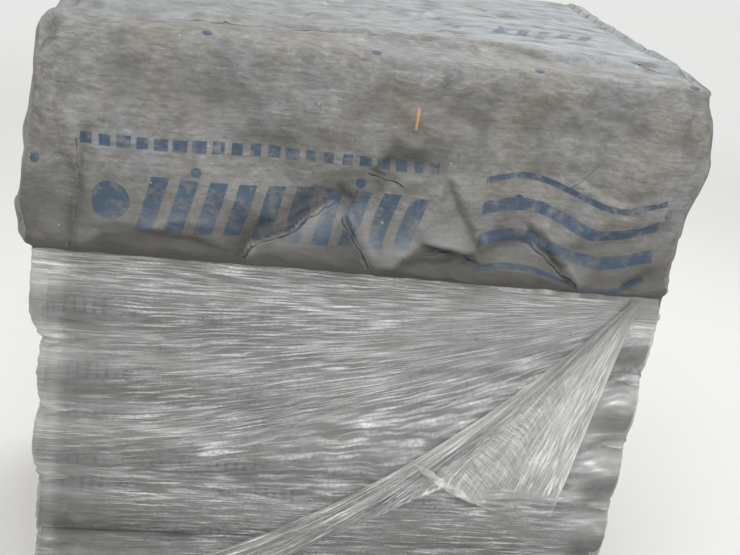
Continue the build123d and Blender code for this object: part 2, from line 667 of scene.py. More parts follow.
@dataclass(frozen=True)
class WovenCloth:
    """Coated woven polypropylene, weathered, with a plain design of faded blue marks, and on the hood painted
    shade and painted sky light.
    """

    name: str
    design: Design
    cool: Colour = (0.188, 0.194, 0.196)
    warm: Colour = (0.196, 0.182, 0.156)
    dark: Colour = (0.08, 0.077, 0.069)
    deep: Colour = (0.026, 0.025, 0.023)
    pale: Colour = (0.35, 0.355, 0.355)
    sky_reflection: Colour = (0.34, 0.41, 0.46)
    ink: Colour = (0.03, 0.056, 0.092)
    chalk: Colour = (0.5, 0.48, 0.43)
    rust: Colour = (0.62, 0.27, 0.11)
    ink_share: float = 0.96
    tape: float = 0.0024
    banner_middle: float = -0.295
    soft: float = 0.0014
    folds: tuple[Fold, ...] = ()

    def _disc(self, u: Field, v: Field, radius: float) -> Field:
        """A filled disc about the place where both coordinates are nought."""
        return ((u**2 + v**2).root() - radius).step(self.soft, -self.soft)

    def _block(self, u: Field, v: Field, wide: Field | float, tall: Field | float) -> Field:
        """A filled rectangle of half sizes wide and tall."""
        return (u.size() - wide).step(self.soft, -self.soft) * (v.size() - tall).step(self.soft, -self.soft)

    def _banner(self, graph: Graph, u: Field, v: Field) -> Field:
        """Slanted bars between discs, a row of dashes over them, waves beside them and scattered dots.

        Args:
            graph: The material's nodes.
            u: The place along the front, in metres of cloth.
            v: The place up it.

        Returns:
            The ink, 0 to 1.
        """
        big = v - self.banner_middle
        leaning = u - big * 0.28 + 0.61
        number = (leaning / 0.054).whole()
        bars = self._block(leaning.off(0.054), big, 0.0165, 0.052)
        bars = bars * number.step(2.4, 2.6) * number.step(12.6, 12.4)
        discs = self._disc(u + 0.498, big, 0.036)
        small = big - 0.112
        dash = u + 0.56
        reach = graph.chance(graph.join((dash / 0.034).whole(), 3.0)) * 0.006 + 0.008
        dashes = self._block(dash.off(0.034), small, reach, 0.011)
        dashes = dashes * u.step(-0.561, -0.56) * u.step(0.111, 0.11)
        wave = big + (u * 17.0).sine() * 0.022 - 0.005
        waves = self._block(wave.off(0.062), wave, 0.0125, 0.093)
        waves = waves * u.step(0.199, 0.202) * u.step(0.562, 0.559)
        dots = self._disc((u + 0.1891).off(0.305), (v + 0.09694).off(0.262), 0.0095) * v.step(-0.45, -0.44)
        far = v - 0.285 - u * 0.08
        leaning = u - far * 0.5
        number = (leaning / 0.046).whole()
        strokes = self._block(leaning.off(0.046), far, 0.012, 0.034) * 0.75
        strokes = strokes * number.step(4.4, 4.6) * number.step(9.6, 9.4)
        return bars.most(discs).most(dashes).most(waves).most(dots).most(strokes)

    def _lines(self, graph: Graph, u: Field, v: Field) -> Field:
        """Rows of short upright strokes of mixed widths, which run along a roll.

        Args:
            graph: The material's nodes.
            u: The place along the roll, in metres.
            v: The place round it.

        Returns:
            The ink, 0 to 1.
        """
        row = (v / 0.118).whole()
        place = u + graph.chance(graph.join(row, 7.0))
        wide = graph.chance(graph.join((place / 0.019).whole(), row)) * 0.006 - 0.0004
        word = graph.noise(graph.join(u * 2.2, row), 2.6, 1.0).step(0.44, 0.47)
        return self._block(place.off(0.019), v.off(0.118), wide, 0.017) * word

    def _fold_lines(self, graph: Graph, u: Field, v: Field) -> tuple[Field, Field]:
        """Draws the folds.

        Args:
            graph: The material's nodes.
            u: The place along the front, in metres of cloth.
            v: The place up it.

        Returns:
            The folds' painted lines of shade and their painted lit edges, both 0 to 1.
        """
        flat = graph.join(u, v)
        waver = (graph.noise(flat, 26.0, 3.0) - 0.5) * 0.022
        place = graph.join(u + waver, v + (graph.noise(graph.join(v, u), 31.0, 3.0) - 0.5) * 0.022)
        broken = graph.noise(flat, 17.0, 2.0).step(0.4, 0.6) * 0.85 + 0.15
        dark, lit = Field.of(graph, 0.0), Field.of(graph, 0.0)
        for fold in self.folds:
            gap = graph.path_gap(place, fold.path)
            dark = dark.most(gap.step(fold.width, 0.0))
            lit = lit.most(gap.step(fold.width * 2.6, fold.width * 1.0))
        return dark * broken, lit * (1 - dark) * broken

    def build(self) -> Material:
        """Makes the material.

        Returns:
            The material.
        """
        graph = Graph.of_material(self.name)
        on_hood = self.design is Design.BANNER
        u, v = graph.surface_uv()
        flat = graph.join(u, v)
        streaky = graph.join(u * 0.16, v)
        broad = graph.noise(flat, 1.9, 3.0, 0.55)
        cloud = graph.noise(flat, 5.5, 4.0, 0.62)
        mottle = graph.noise(flat, 15.0, 4.0, 0.65)
        grain = graph.noise(graph.join(u * 0.5, v), 130.0, 3.0, 0.65)
        streak = graph.noise(streaky, 120.0, 3.0, 0.6)
        fine = graph.noise(streaky, 420.0, 2.0, 0.6)
        patch = graph.noise(graph.join(u * 0.7, v), 36.0, 2.0, 0.5)
        ruck = graph.noise(graph.join(u * 0.45, v * 1.2), 24.0, 4.0, 0.6)
        stain = broad * 0.6 + cloud * 0.4
        # On the hood the front grows darker towards the hem, a painted shade where the cloth faces down, with
        # real stains over it; on the rolls there are only the stains.
        if on_hood:
            stains_and_shade = (v + broad * 0.16).step(-0.06, -0.32) * v.step(-0.62, -0.5) * 0.86
            stains_and_shade = stains_and_shade.most(stain.step(0.47, 0.64) * 0.44)
        else:
            stains_and_shade = stain.step(0.45, 0.66) * 0.5
        lines = streak.step(0.48, 0.74) * 0.34 + fine.step(0.5, 0.8) * 0.3
        sky = graph.painted("open")
        worn = graph.noise(flat, 34.0, 4.0, 0.72).step(0.66, 0.44) * 0.7 + 0.3
        printed = (self._banner if on_hood else self._lines)(graph, u, v)
        colour = graph.coats(
            graph.blend(cloud.step(0.36, 0.66), self.cool, self.warm),
            (lines + grain.step(0.5, 0.68) * 0.3, self.pale),
            (mottle.step(0.46, 0.76) * 0.66, self.dark),
            (streak.step(0.46, 0.28) * 0.48, self.dark),
            (grain.step(0.48, 0.33) * 0.34, self.dark),
            (patch.step(0.5, 0.32) * 0.36, self.dark),
            (patch.step(0.54, 0.72) * 0.26, self.pale),
            # Stains, painted shade on the hood's lower front, and painted shade where it sinks in creases
            (stains_and_shade.most(graph.painted("soil") * 0.62), self.dark),
            # Painted sky light: a painted bluish reflection of the sky, and painted shade and painted
            # highlights on the crumples, strongest where the cloth faces up
            (sky * 0.3, self.sky_reflection),
            (sky.most(0.25) * ruck.step(0.5, 0.34) * 0.74, self.dark),
            (sky * ruck.step(0.52, 0.66) * 0.62, self.pale),
            (printed * worn * (fine * 0.5 + streak * 0.4 + 0.55).least(1.0) * self.ink_share, self.ink),
            (graph.scatter(graph.join(u + mottle * 0.02, v), 4.3).step(0.011, 0.005) * 0.5, self.chalk),
        )
        if on_hood:
            scuff = self._block(u - 0.052 + (grain - 0.5) * 0.004, v + 0.092, 0.0022, 0.021)
            # A painted shade along the hem, where the cloth turns under
            hem = v.step(-0.35, -0.41) * 0.13
            colour = graph.coats(
                colour,
                (scuff * 0.8, self.rust),
                ((graph.painted("shade") * 0.96).most(hem), self.deep),
                (graph.painted("lit") * 0.46, self.pale),
            )
        tapes = math.pi / self.tape
        weave = (u * tapes).sine() * (v * tapes).sine() * 0.5 + 0.5
        height = weave * 0.1 + streak * 0.5 + graph.noise(flat, 60.0, 4.0, 0.6) * 1.6 + grain * 0.7
        height = height + ruck * (sky * 1.4 + 0.8)
        if self.folds:
            dark, lit = self._fold_lines(graph, u, v)
            # The folds' painted shade and painted highlights
            colour = graph.coats(colour, (dark * 0.84, self.deep), (lit * 0.16, self.pale))
            height = height - dark * 0.8 + lit * 0.3
        return graph.finish(
            Base_Color=colour,
            Roughness=streak * 0.22 + 0.5,
            Specular_IOR_Level=0.35,
            Normal=graph.bump(height, 0.75, 0.0026),
        )


@dataclass(frozen=True)
class WrapFilm:
    """Clear stretch film, hazed where it lies in many turns and lined by its wrinkles.

    The piece's own numbers say across which level a wrinkle runs, how hazy the film is there, how
    calm, how far the wrinkles that cross the others take their place, and how much painted shade
    and painted glare it has.
    """

    name: str
    haze: float = 0.25
    bright_share: float = 0.4
    thread: float = 0.0038
    waver: float = 0.006
    relief: float = 0.55
    crossed: bool = False
    colour: Colour = (0.41, 0.41, 0.4)
    bright: Colour = (0.84, 0.85, 0.86)
    dim: Colour = (0.15, 0.15, 0.145)
    slant: float = 0.0

    def _threads(self, graph: Graph, along: Field, level: Field) -> tuple[Field, Field]:
        """How bright the film is from the painted highlights on wrinkles that run one way, and how high
        they stand.

        Args:
            graph: The material's nodes.
            along: The place along the wrinkles, in metres.
            level: The place across them, in metres.

        Returns:
            The painted highlight, 0 to 1, which also makes the film more opaque, and the height, about 0 to
            1.
        """
        sway = (graph.noise(graph.join(along * 1.5, level * 5.0), 1.0, 1.0) - 0.5) * 0.03
        waver = (graph.noise(graph.join(along * 16.0, level * 30.0), 1.0, 1.0) - 0.5) * self.waver
        across = level + sway + waver
        long = graph.noise(graph.join(along * 0.048, across), 1 / self.thread, 1.0, 0.45)
        wide = graph.noise(graph.join(along * 0.075, across), 0.5 / self.thread, 1.0, 0.45)
        broad = graph.noise(graph.join(along * 0.22, across), 0.11 / self.thread, 2.0, 0.5)
        grain = graph.noise(graph.join(along, across * 2.2), 110.0, 2.0, 0.5)
        line = long.step(0.44, 0.62) * 0.62 + wide.step(0.48, 0.66) * 0.54
        line = line * (grain.step(0.32, 0.62) * 0.4 + 0.6)
        return line * (broad.step(0.28, 0.62) * 0.44 + 0.56), long * 0.9 + wide + broad * 0.35

    def build(self) -> Material:
        """Makes the material.

        Returns:
            The material.
        """
        graph = Graph.of_material(self.name)
        u, v = graph.surface_uv()
        names = ("haze", "level", "calm", "cross", "dim", "glare")
        extra, level, calm, cross, dim, glare = (graph.painted(name) for name in names)
        bright, height = self._threads(graph, u, level)
        if self.crossed:
            other_bright, other_height = self._threads(graph, v, u - v * self.slant)
            bright = bright * (1 - cross) + other_bright * cross
            height = height * (1 - cross) + other_height * cross
        live = 1 - calm
        cloud = graph.noise(graph.join(u, v), 5.5, 4.0, 0.6)
        haze = cloud.step(0.25, 0.75) * 0.12 + extra + self.haze
        glare = glare * (bright * 1.1 + height * 0.25).least(1.0)
        # Painted highlights: the wrinkles' bright lines and the glare stand for the sky mirrored in the film
        colour = graph.blend((bright * live).most(glare), self.colour, self.bright)
        # Painted shade, weaker on the bright wrinkles
        colour = graph.blend(dim * (1 - bright * live * 0.7), colour, self.dim)
        return graph.finish(
            Base_Color=colour,
            Roughness=0.4 - calm * 0.24,
            Alpha=(haze + bright * live * self.bright_share + glare * 0.6).least(0.97),
            Specular_IOR_Level=0.8,
            IOR=1.7,
            Normal=graph.bump(height * (live * 0.65 + 0.35), self.relief, 0.0042),
        )


@dataclass(frozen=True)
class SawnWood:
    """Rough sawn softwood, with its grain along one of the load's directions."""

    name: str
    along_x: bool
    pale: Colour = (0.46, 0.34, 0.21)
    dark: Colour = (0.26, 0.17, 0.1)
    grey: Colour = (0.32, 0.28, 0.23)
    heart: Colour = (0.11, 0.06, 0.035)

    def build(self) -> Material:
        """Makes the material.

        Returns:
            The material.
        """
        graph = Graph.of_material(self.name)
        x, y, z = graph.place()
        long, across = (x, y) if self.along_x else (y, x)
        board = (across * 4.7).whole()
        rings = graph.noise(graph.join(long * 0.07 + board * 3.1, across + board, z), 46.0, 5.0, 0.62)
        fibre = graph.noise(graph.join(long * 0.05, across, z), 310.0, 3.0, 0.6)
        weather = graph.noise(graph.join(x, y, z), 4.0, 4.0, 0.6)
        saw = ((long + rings * 0.006) * 900.0).sine() * 0.5 + 0.5
        knot = graph.scatter(graph.join(long * 0.6, across), 5.5).step(0.1, 0.04)
        colour = graph.coats(
            graph.blend(rings.step(0.35, 0.68), self.pale, self.dark),
            (weather.step(0.45, 0.75) * 0.6, self.grey),
            (fibre.step(0.5, 0.8) * 0.35, self.dark),
            (knot * 0.85, self.heart),
        )
        return graph.finish(
            Base_Color=colour,
            Roughness=fibre * 0.15 + 0.72,
            Specular_IOR_Level=0.3,
            Normal=graph.bump(rings * 0.8 + fibre * 0.7 + saw * 0.18 + knot * 0.6, 0.8, 0.0016),
        )


@dataclass(frozen=True)
class CoreBoard:
    """Brown spiral-wound cardboard of the rolls' cores."""

    name: str = "core_board"
    pale: Colour = (0.36, 0.25, 0.15)
    dark: Colour = (0.24, 0.16, 0.095)
    seam: Colour = (0.14, 0.09, 0.05)

    def build(self) -> Material:
        """Makes the material.

        Returns:
            The material.
        """
        graph = Graph.of_material(self.name)
        x, y, z = graph.place()
        ply = ((x * 9.0 + y * 4.0 + z * 4.0) * 12.0).rest().step(0.02, 0.08)
        pulp = graph.noise(graph.join(x, y, z), 260.0, 3.0, 0.6)
        colour = graph.blend(pulp.step(0.35, 0.75), self.pale, self.dark)
        colour = graph.blend(1 - ply, colour, self.seam)
        return graph.finish(
            Base_Color=colour,
            Roughness=pulp * 0.1 + 0.75,
            Normal=graph.bump(pulp + ply * 0.4, 0.5, 0.0008),
        )


@dataclass(frozen=True)
class NailSteel:
    """Bright wire nails, dulled and lightly rusted."""

    name: str = "nail_steel"
    bright: Colour = (0.42, 0.42, 0.43)
    rust: Colour = (0.23, 0.1, 0.045)

    def build(self) -> Material:
        """Makes the material.

        Returns:
            The material.
        """
        graph = Graph.of_material(self.name)
        rust = graph.noise(graph.join(*graph.place()), 160.0, 4.0, 0.65).step(0.48, 0.62)
        return graph.finish(
            Base_Color=graph.blend(rust, self.bright, self.rust),
            Metallic=1 - rust,
            Roughness=rust * 0.4 + 0.38,
        )


# Pieces that repeat, made by geometry nodes


class Pattern(NodeTree):
    """A geometry node tree that is built, run once on a piece and left behind as a plain mesh."""

    def __init__(self, name: str, inputs: dict[str, str]) -> None:
        """Starts the tree.

        Args:
            name: Its name.
            inputs: The kinds of its inputs, under their names.
        """
        super().__init__(bpy.data.node_groups.new(name, "GeometryNodeTree"))
        add = self.tree.interface.new_socket
        for label, kind in {"Geometry": "Geometry", **inputs}.items():
            add(label, in_out="INPUT", socket_type=f"NodeSocket{kind}")
        add("Geometry", in_out="OUTPUT", socket_type="NodeSocketGeometry")
        self.given = self.node("NodeGroupInput").outputs

    def math(self, operation: str, first: object, second: object) -> Socket:
        """The outcome of a Math node."""
        return self.node("ShaderNodeMath", {"operation": operation}, {0: first, 1: second}).outputs[0]

    def join(self, x: object = 0.0, y: object = 0.0, z: object = 0.0) -> Socket:
        """A vector of three numbers."""
        return self.node("ShaderNodeCombineXYZ", None, {0: x, 1: y, 2: z}).outputs[0]

    def end(self, instances: Socket, finish: Socket) -> None:
        """Realizes the instances, gives them their material and ends the tree.

        Args:
            instances: The instances.
            finish: Their material.
        """
        real = self.node("GeometryNodeRealizeInstances", None, {0: instances}).outputs[0]
        dressed = self.node("GeometryNodeSetMaterial", None, {"Geometry": real, "Material": finish})
        self.node("NodeGroupOutput", None, {0: dressed.outputs[0]})

    def run(self, name: str, base: Piece, values: dict[str, object]) -> Piece:
        """Runs the tree on a base piece.

        Args:
            name: The new piece's name.
            base: The piece whose mesh goes in. It is removed afterwards.
            values: The named inputs' values.

        Returns:
            A piece with the result as its plain mesh.
        """
        modifier = base.modifiers.new(name, "NODES")
        modifier.node_group = self.tree
        for item in self.tree.interface.items_tree:
            if item.item_type == "SOCKET" and item.in_out == "INPUT" and item.name in values:
                modifier[item.identifier] = values[item.name]
        bpy.context.view_layer.update()
        graph = bpy.context.evaluated_depsgraph_get()
        mesh = bpy.data.meshes.new_from_object(base.evaluated_get(graph), depsgraph=graph)
        mesh.name = name
        base.modifiers.remove(modifier)
        bpy.data.objects.remove(base)
        piece = bpy.data.objects.new(name, mesh)
        bpy.context.scene.collection.objects.link(piece)
        return piece


@dataclass
class RollStack:
    """The wound rolls, layer by layer, each with its turns on its ends and a cardboard core."""

    load: Load = LOAD
    segments: int = 44
    shown_turns: int = 8
    core_wall: float = 0.0036
    core_setback: float = 0.0016
    turn_step: float = 0.0013
    end_stagger: float = 0.0011
    seed: int = 11

    def _ending(self) -> tuple[Array, Array]:
        """Works out a spiral over one end, from the core outwards.

        Returns:
            Its radius, and how far it is set back from the end.
        """
        count = 2 * self.shown_turns * self.segments + 1
        inner = self.load.bore_diameter / 2 + self.core_wall
        outer = self.load.roll_diameter / 2 - 0.0004
        share = np.arange(count) / (count - 1)
        turn = np.arange(count) / self.segments
        ridge = (np.floor(turn) % 2) * self.turn_step
        wander = Drift(self.seed)(share * 5.0, share * 0 + 3.5) * self.end_stagger
        return inner + (outer - inner) * share, 0.0016 + ridge + np.abs(wander)

    def _roll_mesh(self) -> Piece:
        """Makes one roll about the load's own X axis, the shape that is laid out in every layer.

        Returns:
            The roll.
        """
        radius, setback = self._ending()
        side, half, first = self.segments, self.load.half_length, len(radius)
        full = self.load.roll_diameter / 2 - 0.0001
        angle = 2 * np.pi * np.arange(first) / side
        turn = 2 * np.pi * np.arange(side) / side
        end = np.stack([half - setback, radius * np.cos(angle), radius * np.sin(angle)], 1)
        uv_end = np.stack([half + 0.02 + radius, angle * 0.02], 1)
        lap = 0.0007 * (np.arange(side) / side)
        rings, ring_uv = [], []
        for x in (half - 0.0002, half - 0.003, half * 0.5, 0.0, -half * 0.5, 0.003 - half, 0.0002 - half):
            ring = full - lap - 0.0009 * (1 - (x / half) ** 2)
            rings.append(np.stack([np.full(side, x), ring * np.cos(turn), ring * np.sin(turn)], 1))
            ring_uv.append(np.stack([np.full(side, x), full * turn], 1))
        spiral, rim = np.arange(first - side - 1), np.arange(side)
        quads = np.stack([spiral, spiral + side, spiral + side + 1, spiral + 1], 1)
        last = first - 1 - side + rim
        near, beside = 2 * first + rim, 2 * first + (rim + 1) % side
        far = (len(rings) - 1) * side
        faces = np.vstack([
            quads,
            quads[:, ::-1] + first,
            np.stack([last, near, beside, last + 1], 1),
            np.stack([last + first, last + first + 1, beside + far, near + far], 1),
            strips(len(rings), side, True)[:, ::-1] + 2 * first,
            np.stack([rim, rim + 1, rim + 1 + first, rim + first], 1),
        ])
        points = np.vstack([end, end * (-1, 1, 1), *rings])
        piece = make_piece("roll_form", points, faces, np.vstack([uv_end, uv_end * (-1, 1), *ring_uv]))
        smooth = np.zeros(len(faces), dtype=bool)
        smooth[2 * len(quads) + 2 * side: -side] = True
        piece.data.polygons.foreach_set("use_smooth", smooth)
        return piece

    def _core_mesh(self) -> Piece:
        """Makes one core tube about the load's own X axis.

        Returns:
            The tube.
        """
        inner, side = self.load.bore_diameter / 2, self.segments
        outer = inner + self.core_wall - 0.0002
        reach = self.load.half_length - self.core_setback
        turn = 2 * np.pi * np.arange(side) / side
        rings = []
        for x, radius in ((reach, inner), (reach, outer), (-reach, outer), (-reach, inner)):
            rings.append(np.stack([np.full(side, x), radius * np.cos(turn), radius * np.sin(turn)], 1))
        column = np.arange(side)
        beside, last = (column + 1) % side, 3 * side
        closing = np.stack([last + column, column, beside, last + beside], 1)
        faces = np.vstack([strips(4, side, True), closing])[:, ::-1]
        return make_piece("core_form", np.vstack(rings), faces, smooth=False)

    def _layout(self) -> Pattern:
        """Builds the tree that lays one layer of rolls side by side.

        Returns:
            The tree.
        """
        sockets = {"Roll": "Object", "Count": "Int", "Pitch": "Float", "Height": "Float", "Stagger": "Float"}
        tree = Pattern("roll_layout", {**sockets, "Seed": "Int", "Finish": "Material"})
        given = tree.given
        half = tree.math("MULTIPLY", tree.math("SUBTRACT", given["Count"], 1.0), -0.5)
        start = tree.join(y=tree.math("MULTIPLY", half, given["Pitch"]), z=given["Height"])
        inputs = {"Count": given["Count"], "Start Location": start, "Offset": tree.join(y=given["Pitch"])}
        line = tree.node("GeometryNodeMeshLine", {"mode": "OFFSET"}, inputs).outputs[0]
        back = tree.math("MULTIPLY", given["Stagger"], -1.0)
        inputs = {2: back, 3: given["Stagger"], "Seed": given["Seed"]}
        slip = tree.node("FunctionNodeRandomValue", {"data_type": "FLOAT"}, inputs).outputs[1]
        inputs = {"Geometry": line, "Offset": tree.join(slip)}
        placed = tree.node("GeometryNodeSetPosition", None, inputs).outputs[0]
        inputs = {3: 2 * math.pi, "Seed": given["Seed"]}
        spin = tree.node("FunctionNodeRandomValue", {"data_type": "FLOAT"}, inputs).outputs[1]
        roll = tree.node("GeometryNodeObjectInfo", None, {"Object": given["Roll"]}).outputs["Geometry"]
        inputs = {"Points": placed, "Instance": roll, "Rotation": tree.join(spin)}
        tree.end(tree.node("GeometryNodeInstanceOnPoints", None, inputs).outputs[0], given["Finish"])
        return tree

    def build(self, cloth: Material, board: Material) -> list[Piece]:
        """Makes a piece for each layer's rolls and one for each layer's cores.

        Args:
            cloth: The rolls' material.
            board: The cores' material.

        Returns:
            The pieces.
        """
        layout = self._layout()
        forms = {"rolls": (self._roll_mesh(), cloth), "cores": (self._core_mesh(), board)}
        shared = {"Count": self.load.rolls_deep, "Pitch": self.load.pitch, "Stagger": self.end_stagger}
        pieces = []
        for layer in range(self.load.layers):
            for kind, (form, finish) in forms.items():
                base = make_piece(f"{kind}_base", np.zeros((0, 3)), np.zeros((0, 4), int))
                values = {"Roll": form, "Height": self.load.middle(layer), "Seed": self.seed + layer}
                piece = layout.run(f"wound_{kind}_{layer + 1}", base, {**shared, **values, "Finish": finish})
                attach(piece, "root")
                if kind == "rolls":
                    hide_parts(f"roll_layer_{layer + 1}")
                if kind == "rolls" and layer == self.load.film_layers:
                    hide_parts("roll_core")
                pieces.append(piece)
        for form, _ in forms.values():
            bpy.data.objects.remove(form)
        return pieces


class Side(IntEnum):
    """The four walls of the load, in the order in which its outline goes round."""

    FRONT = 0
    RIGHT = 1
    BACK = 2
    LEFT = 3


@dataclass
class Outline:
    """Points round the load at one height, counted from the front left corner to the right.

    Args:
        counts: How many steps each side has, half of each corner's bend included.
        bend: How many of a side's steps are in half a corner's bend.
    """

    counts: tuple[int, int, int, int]
    bend: int = 3
    side: Array = field(init=False)
    share: Array = field(init=False)
    normal: Array = field(init=False)

    def __post_init__(self) -> None:
        """Works out each point's side, its share of the straight run and its outward direction."""
        side, share, angle = [], [], []
        for number, count in enumerate(self.counts):
            step = np.arange(count)
            straight = (step - self.bend) / (count - 2 * self.bend)
            side.append(np.full(count, number))
            share.append(np.clip(straight, 0, 1))
            start = np.clip((self.bend - step) / self.bend, 0, 1) * -45
            stop = np.clip((step - count + self.bend) / self.bend, 0, 1) * 45
            angle.append(number * 90 - 90 + start + stop)
        self.side = np.concatenate(side)
        self.share = np.concatenate(share)
        turned = np.radians(np.concatenate(angle))
        self.normal = np.stack([np.cos(turned), np.sin(turned)], 1)

    def __len__(self) -> int:
        """How many points there are."""
        return len(self.side)

    def trace(self, half_length: float, half_depth: float, reach: Array, radius: Array) -> Array:
        """Points round the block.

        Args:
            half_length: Half of the block's length.
            half_depth: Half of its depth.
            reach: How far each side stands off the block, one column for each side.
            radius: The corners' radius, one for each row of reach.

        Returns:
            X and Y of each row's points.
        """
        front, right, back, left = reach.T
        low_x, high_x = -half_length - left + radius, half_length + right - radius
        low_y, high_y = -half_depth - front + radius, half_depth + back - radius
        places = []
        for corners in ((low_x, high_x, high_x, low_x, low_x), (low_y, low_y, high_y, high_y, low_y)):
            start, stop = (np.stack(corners, 1)[:, self.side + k] for k in (0, 1))
            places.append(start + (stop - start) * self.share)
        return np.stack(places, -1) + radius[:, None, None] * self.normal


@dataclass
class HoodSheet:
    """The cloth hood: one sheet laid over the rolls, settled and creased, its hem under the film."""

    load: Load = LOAD
    spacing: float = 0.0136
    # From the top down to the tucked hem: height, then how far each side stands off the rolls
    fall: tuple[tuple[float, float, float, float, float], ...] = (
        (1.394, -0.088, -0.018, -0.088, -0.014),
        (1.3915, -0.052, 0.004, -0.052, 0.01),
        (1.38, -0.021, 0.018, -0.021, 0.03),
        (1.362, -0.001, 0.026, -0.001, 0.044),
        (1.335, 0.013, 0.032, 0.012, 0.053),
        (1.29, 0.0215, 0.034, 0.018, 0.058),
        (1.22, 0.026, 0.028, 0.022, 0.062),
        (1.15, 0.03, 0.015, 0.025, 0.067),
        (1.09, 0.034, 0.009, 0.028, 0.07),
        (1.03, 0.038, 0.008, 0.031, 0.07),
        (0.985, 0.036, 0.006, 0.03, 0.06),
        (0.959, 0.026, 0.003, 0.024, 0.048),
        (0.945, 0.012, 0.002, 0.012, 0.039),
        (0.938, 0.0016, 0.0012, 0.0016, 0.0295),
        (0.908, 0.0012, 0.001, 0.0012, 0.0285),
        (0.878, 0.001, 0.0008, 0.001, 0.028),
    )
    corner_radius: float = 0.025
    hem_radius: float = 0.004
    # The cloth's own coordinate at the height of nought on the front wall
    front_zero: float = -1.362
    # What the cloth's own coordinate gains over the front edge of the top
    over_front: float = 0.012
    growth: float = 0.022
    frames: int = 22
    most_shift: float = 0.018
    shaded_below: float = 1.3
    # Below this height the simulation holds the sheet fast, and above it by this much
    held_below: float = 0.956
    hold: float = 0.035
    clearance: float = 0.0014

    @staticmethod
    def _front_creases() -> list[Crease]:
        """The creases that show on the front wall, by X and Z.

        Returns:
            The creases.
        """
        dent, step = Turn.DENT, Turn.STEP
        return [
            # The left border's long fold, and the hem's underside
            Crease(((-0.546, 1.215), (-0.557, 1.113), (-0.565, 1.035), (-0.567, 0.95)), -0.01, 0.007, dent),
            Crease(((-0.552, 1.0), (-0.49, 1.012), (-0.424, 1.006), (-0.34, 1.0), (-0.262, 0.97)),
                   0.011, 0.018, step),
            Crease(((0.02, 0.985), (0.15, 0.985), (0.26, 1.04), (0.33, 1.05)), 0.012, 0.022, step),
            # The overhanging fold left of the middle
            Crease(((-0.05, 1.118), (-0.15, 1.061), (-0.23, 1.013), (-0.252, 0.975), (-0.24, 0.945)),
                   0.02, 0.03, step),
            Crease(((-0.12, 1.05), (-0.2, 1.005), (-0.225, 0.965)), -0.012, 0.012, dent),
            # The dent in the middle, with the lit strip below it
            Crease(((-0.095, 1.118), (-0.048, 1.104), (0.01, 1.112)), -0.03, 0.024, dent),
            Crease(((-0.065, 1.112), (-0.04, 1.046), (-0.005, 0.955)), -0.02, 0.013, dent),
            Crease(((-0.04, 1.08), (-0.01, 1.0), (0.015, 0.95)), 0.014, 0.012, dent),
            Crease(((-0.01, 1.175), (0.06, 1.18), (0.135, 1.165)), -0.024, 0.02, dent),
            Crease(((-0.01, 1.15), (0.05, 1.135), (0.11, 1.15)), 0.01, 0.014, dent),
            # The lit facet right of the middle
            Crease(((0.12, 1.15), (0.105, 1.08), (0.08, 1.02)), 0.014, 0.018, dent),
            Crease(((0.08, 1.02), (0.15, 1.008), (0.225, 0.99)), 0.018, 0.018, step),
            Crease(((0.125, 1.16), (0.175, 1.075), (0.225, 0.99)), 0.012, 0.016, step),
            # The curved fold near the right, and the hem's crumples
            Crease(((0.284, 1.082), (0.322, 1.06), (0.368, 1.01), (0.4, 0.972), (0.424, 0.935)),
                   0.018, 0.016, step),
            Crease(((0.439, 1.079), (0.52, 1.087)), -0.008, 0.016, dent),
            Crease(((0.575, 1.04), (0.53, 0.985), (0.482, 0.965)), 0.011, 0.016, dent),
            Crease(((0.5, 0.945), (0.545, 0.975), (0.575, 1.0)), -0.011, 0.012, dent),
            Crease(((0.44, 0.955), (0.5, 0.972), (0.56, 0.955)), -0.008, 0.014, dent),
            # Shallow hollows higher up
            Crease(((0.111, 1.305), (0.143, 1.28), (0.204, 1.261)), -0.014, 0.026, dent),
            Crease(((0.15, 1.24), (0.33, 1.275), (0.56, 1.26)), -0.006, 0.03, dent),
            Crease(((-0.56, 1.29), (-0.38, 1.26), (-0.18, 1.27)), -0.007, 0.05, dent),
            Crease(((-0.288, 1.2), (-0.168, 1.18), (-0.078, 1.195)), -0.009, 0.03, dent),
            Crease(((0.33, 1.2), (0.44, 1.14), (0.56, 1.12)), -0.007, 0.024, step),
            Crease(((0.25, 1.33), (0.3, 1.21), (0.27, 1.13)), -0.007, 0.022, dent),
        ]

    @staticmethod
    def _top_creases() -> list[Crease]:
        """The creases that show on the top, by X and Y.

        Returns:
            The creases.
        """
        return [
            Crease(((-0.3, -0.362), (-0.09, -0.352), (0.145, -0.345), (0.42, -0.385), (0.581, -0.4)),
                   0.0075, 0.01, Turn.STEP),
            Crease(((-0.3, -0.362), (0.145, -0.345), (0.581, -0.4)), -0.006, 0.007),
            Crease(((0.002, 0.029), (0.112, -0.18), (0.145, -0.331)), -0.007, 0.014, Turn.STEP),
            Crease(((0.54, 0.47), (0.56, 0.0), (0.572, -0.41)), 0.008, 0.01, Turn.STEP),
            Crease(((-0.56, -0.38), (-0.33, -0.3), (-0.12, -0.33)), -0.006, 0.03),
            Crease(((0.145, -0.33), (0.3, -0.28), (0.5, -0.31)), 0.005, 0.03),
        ]

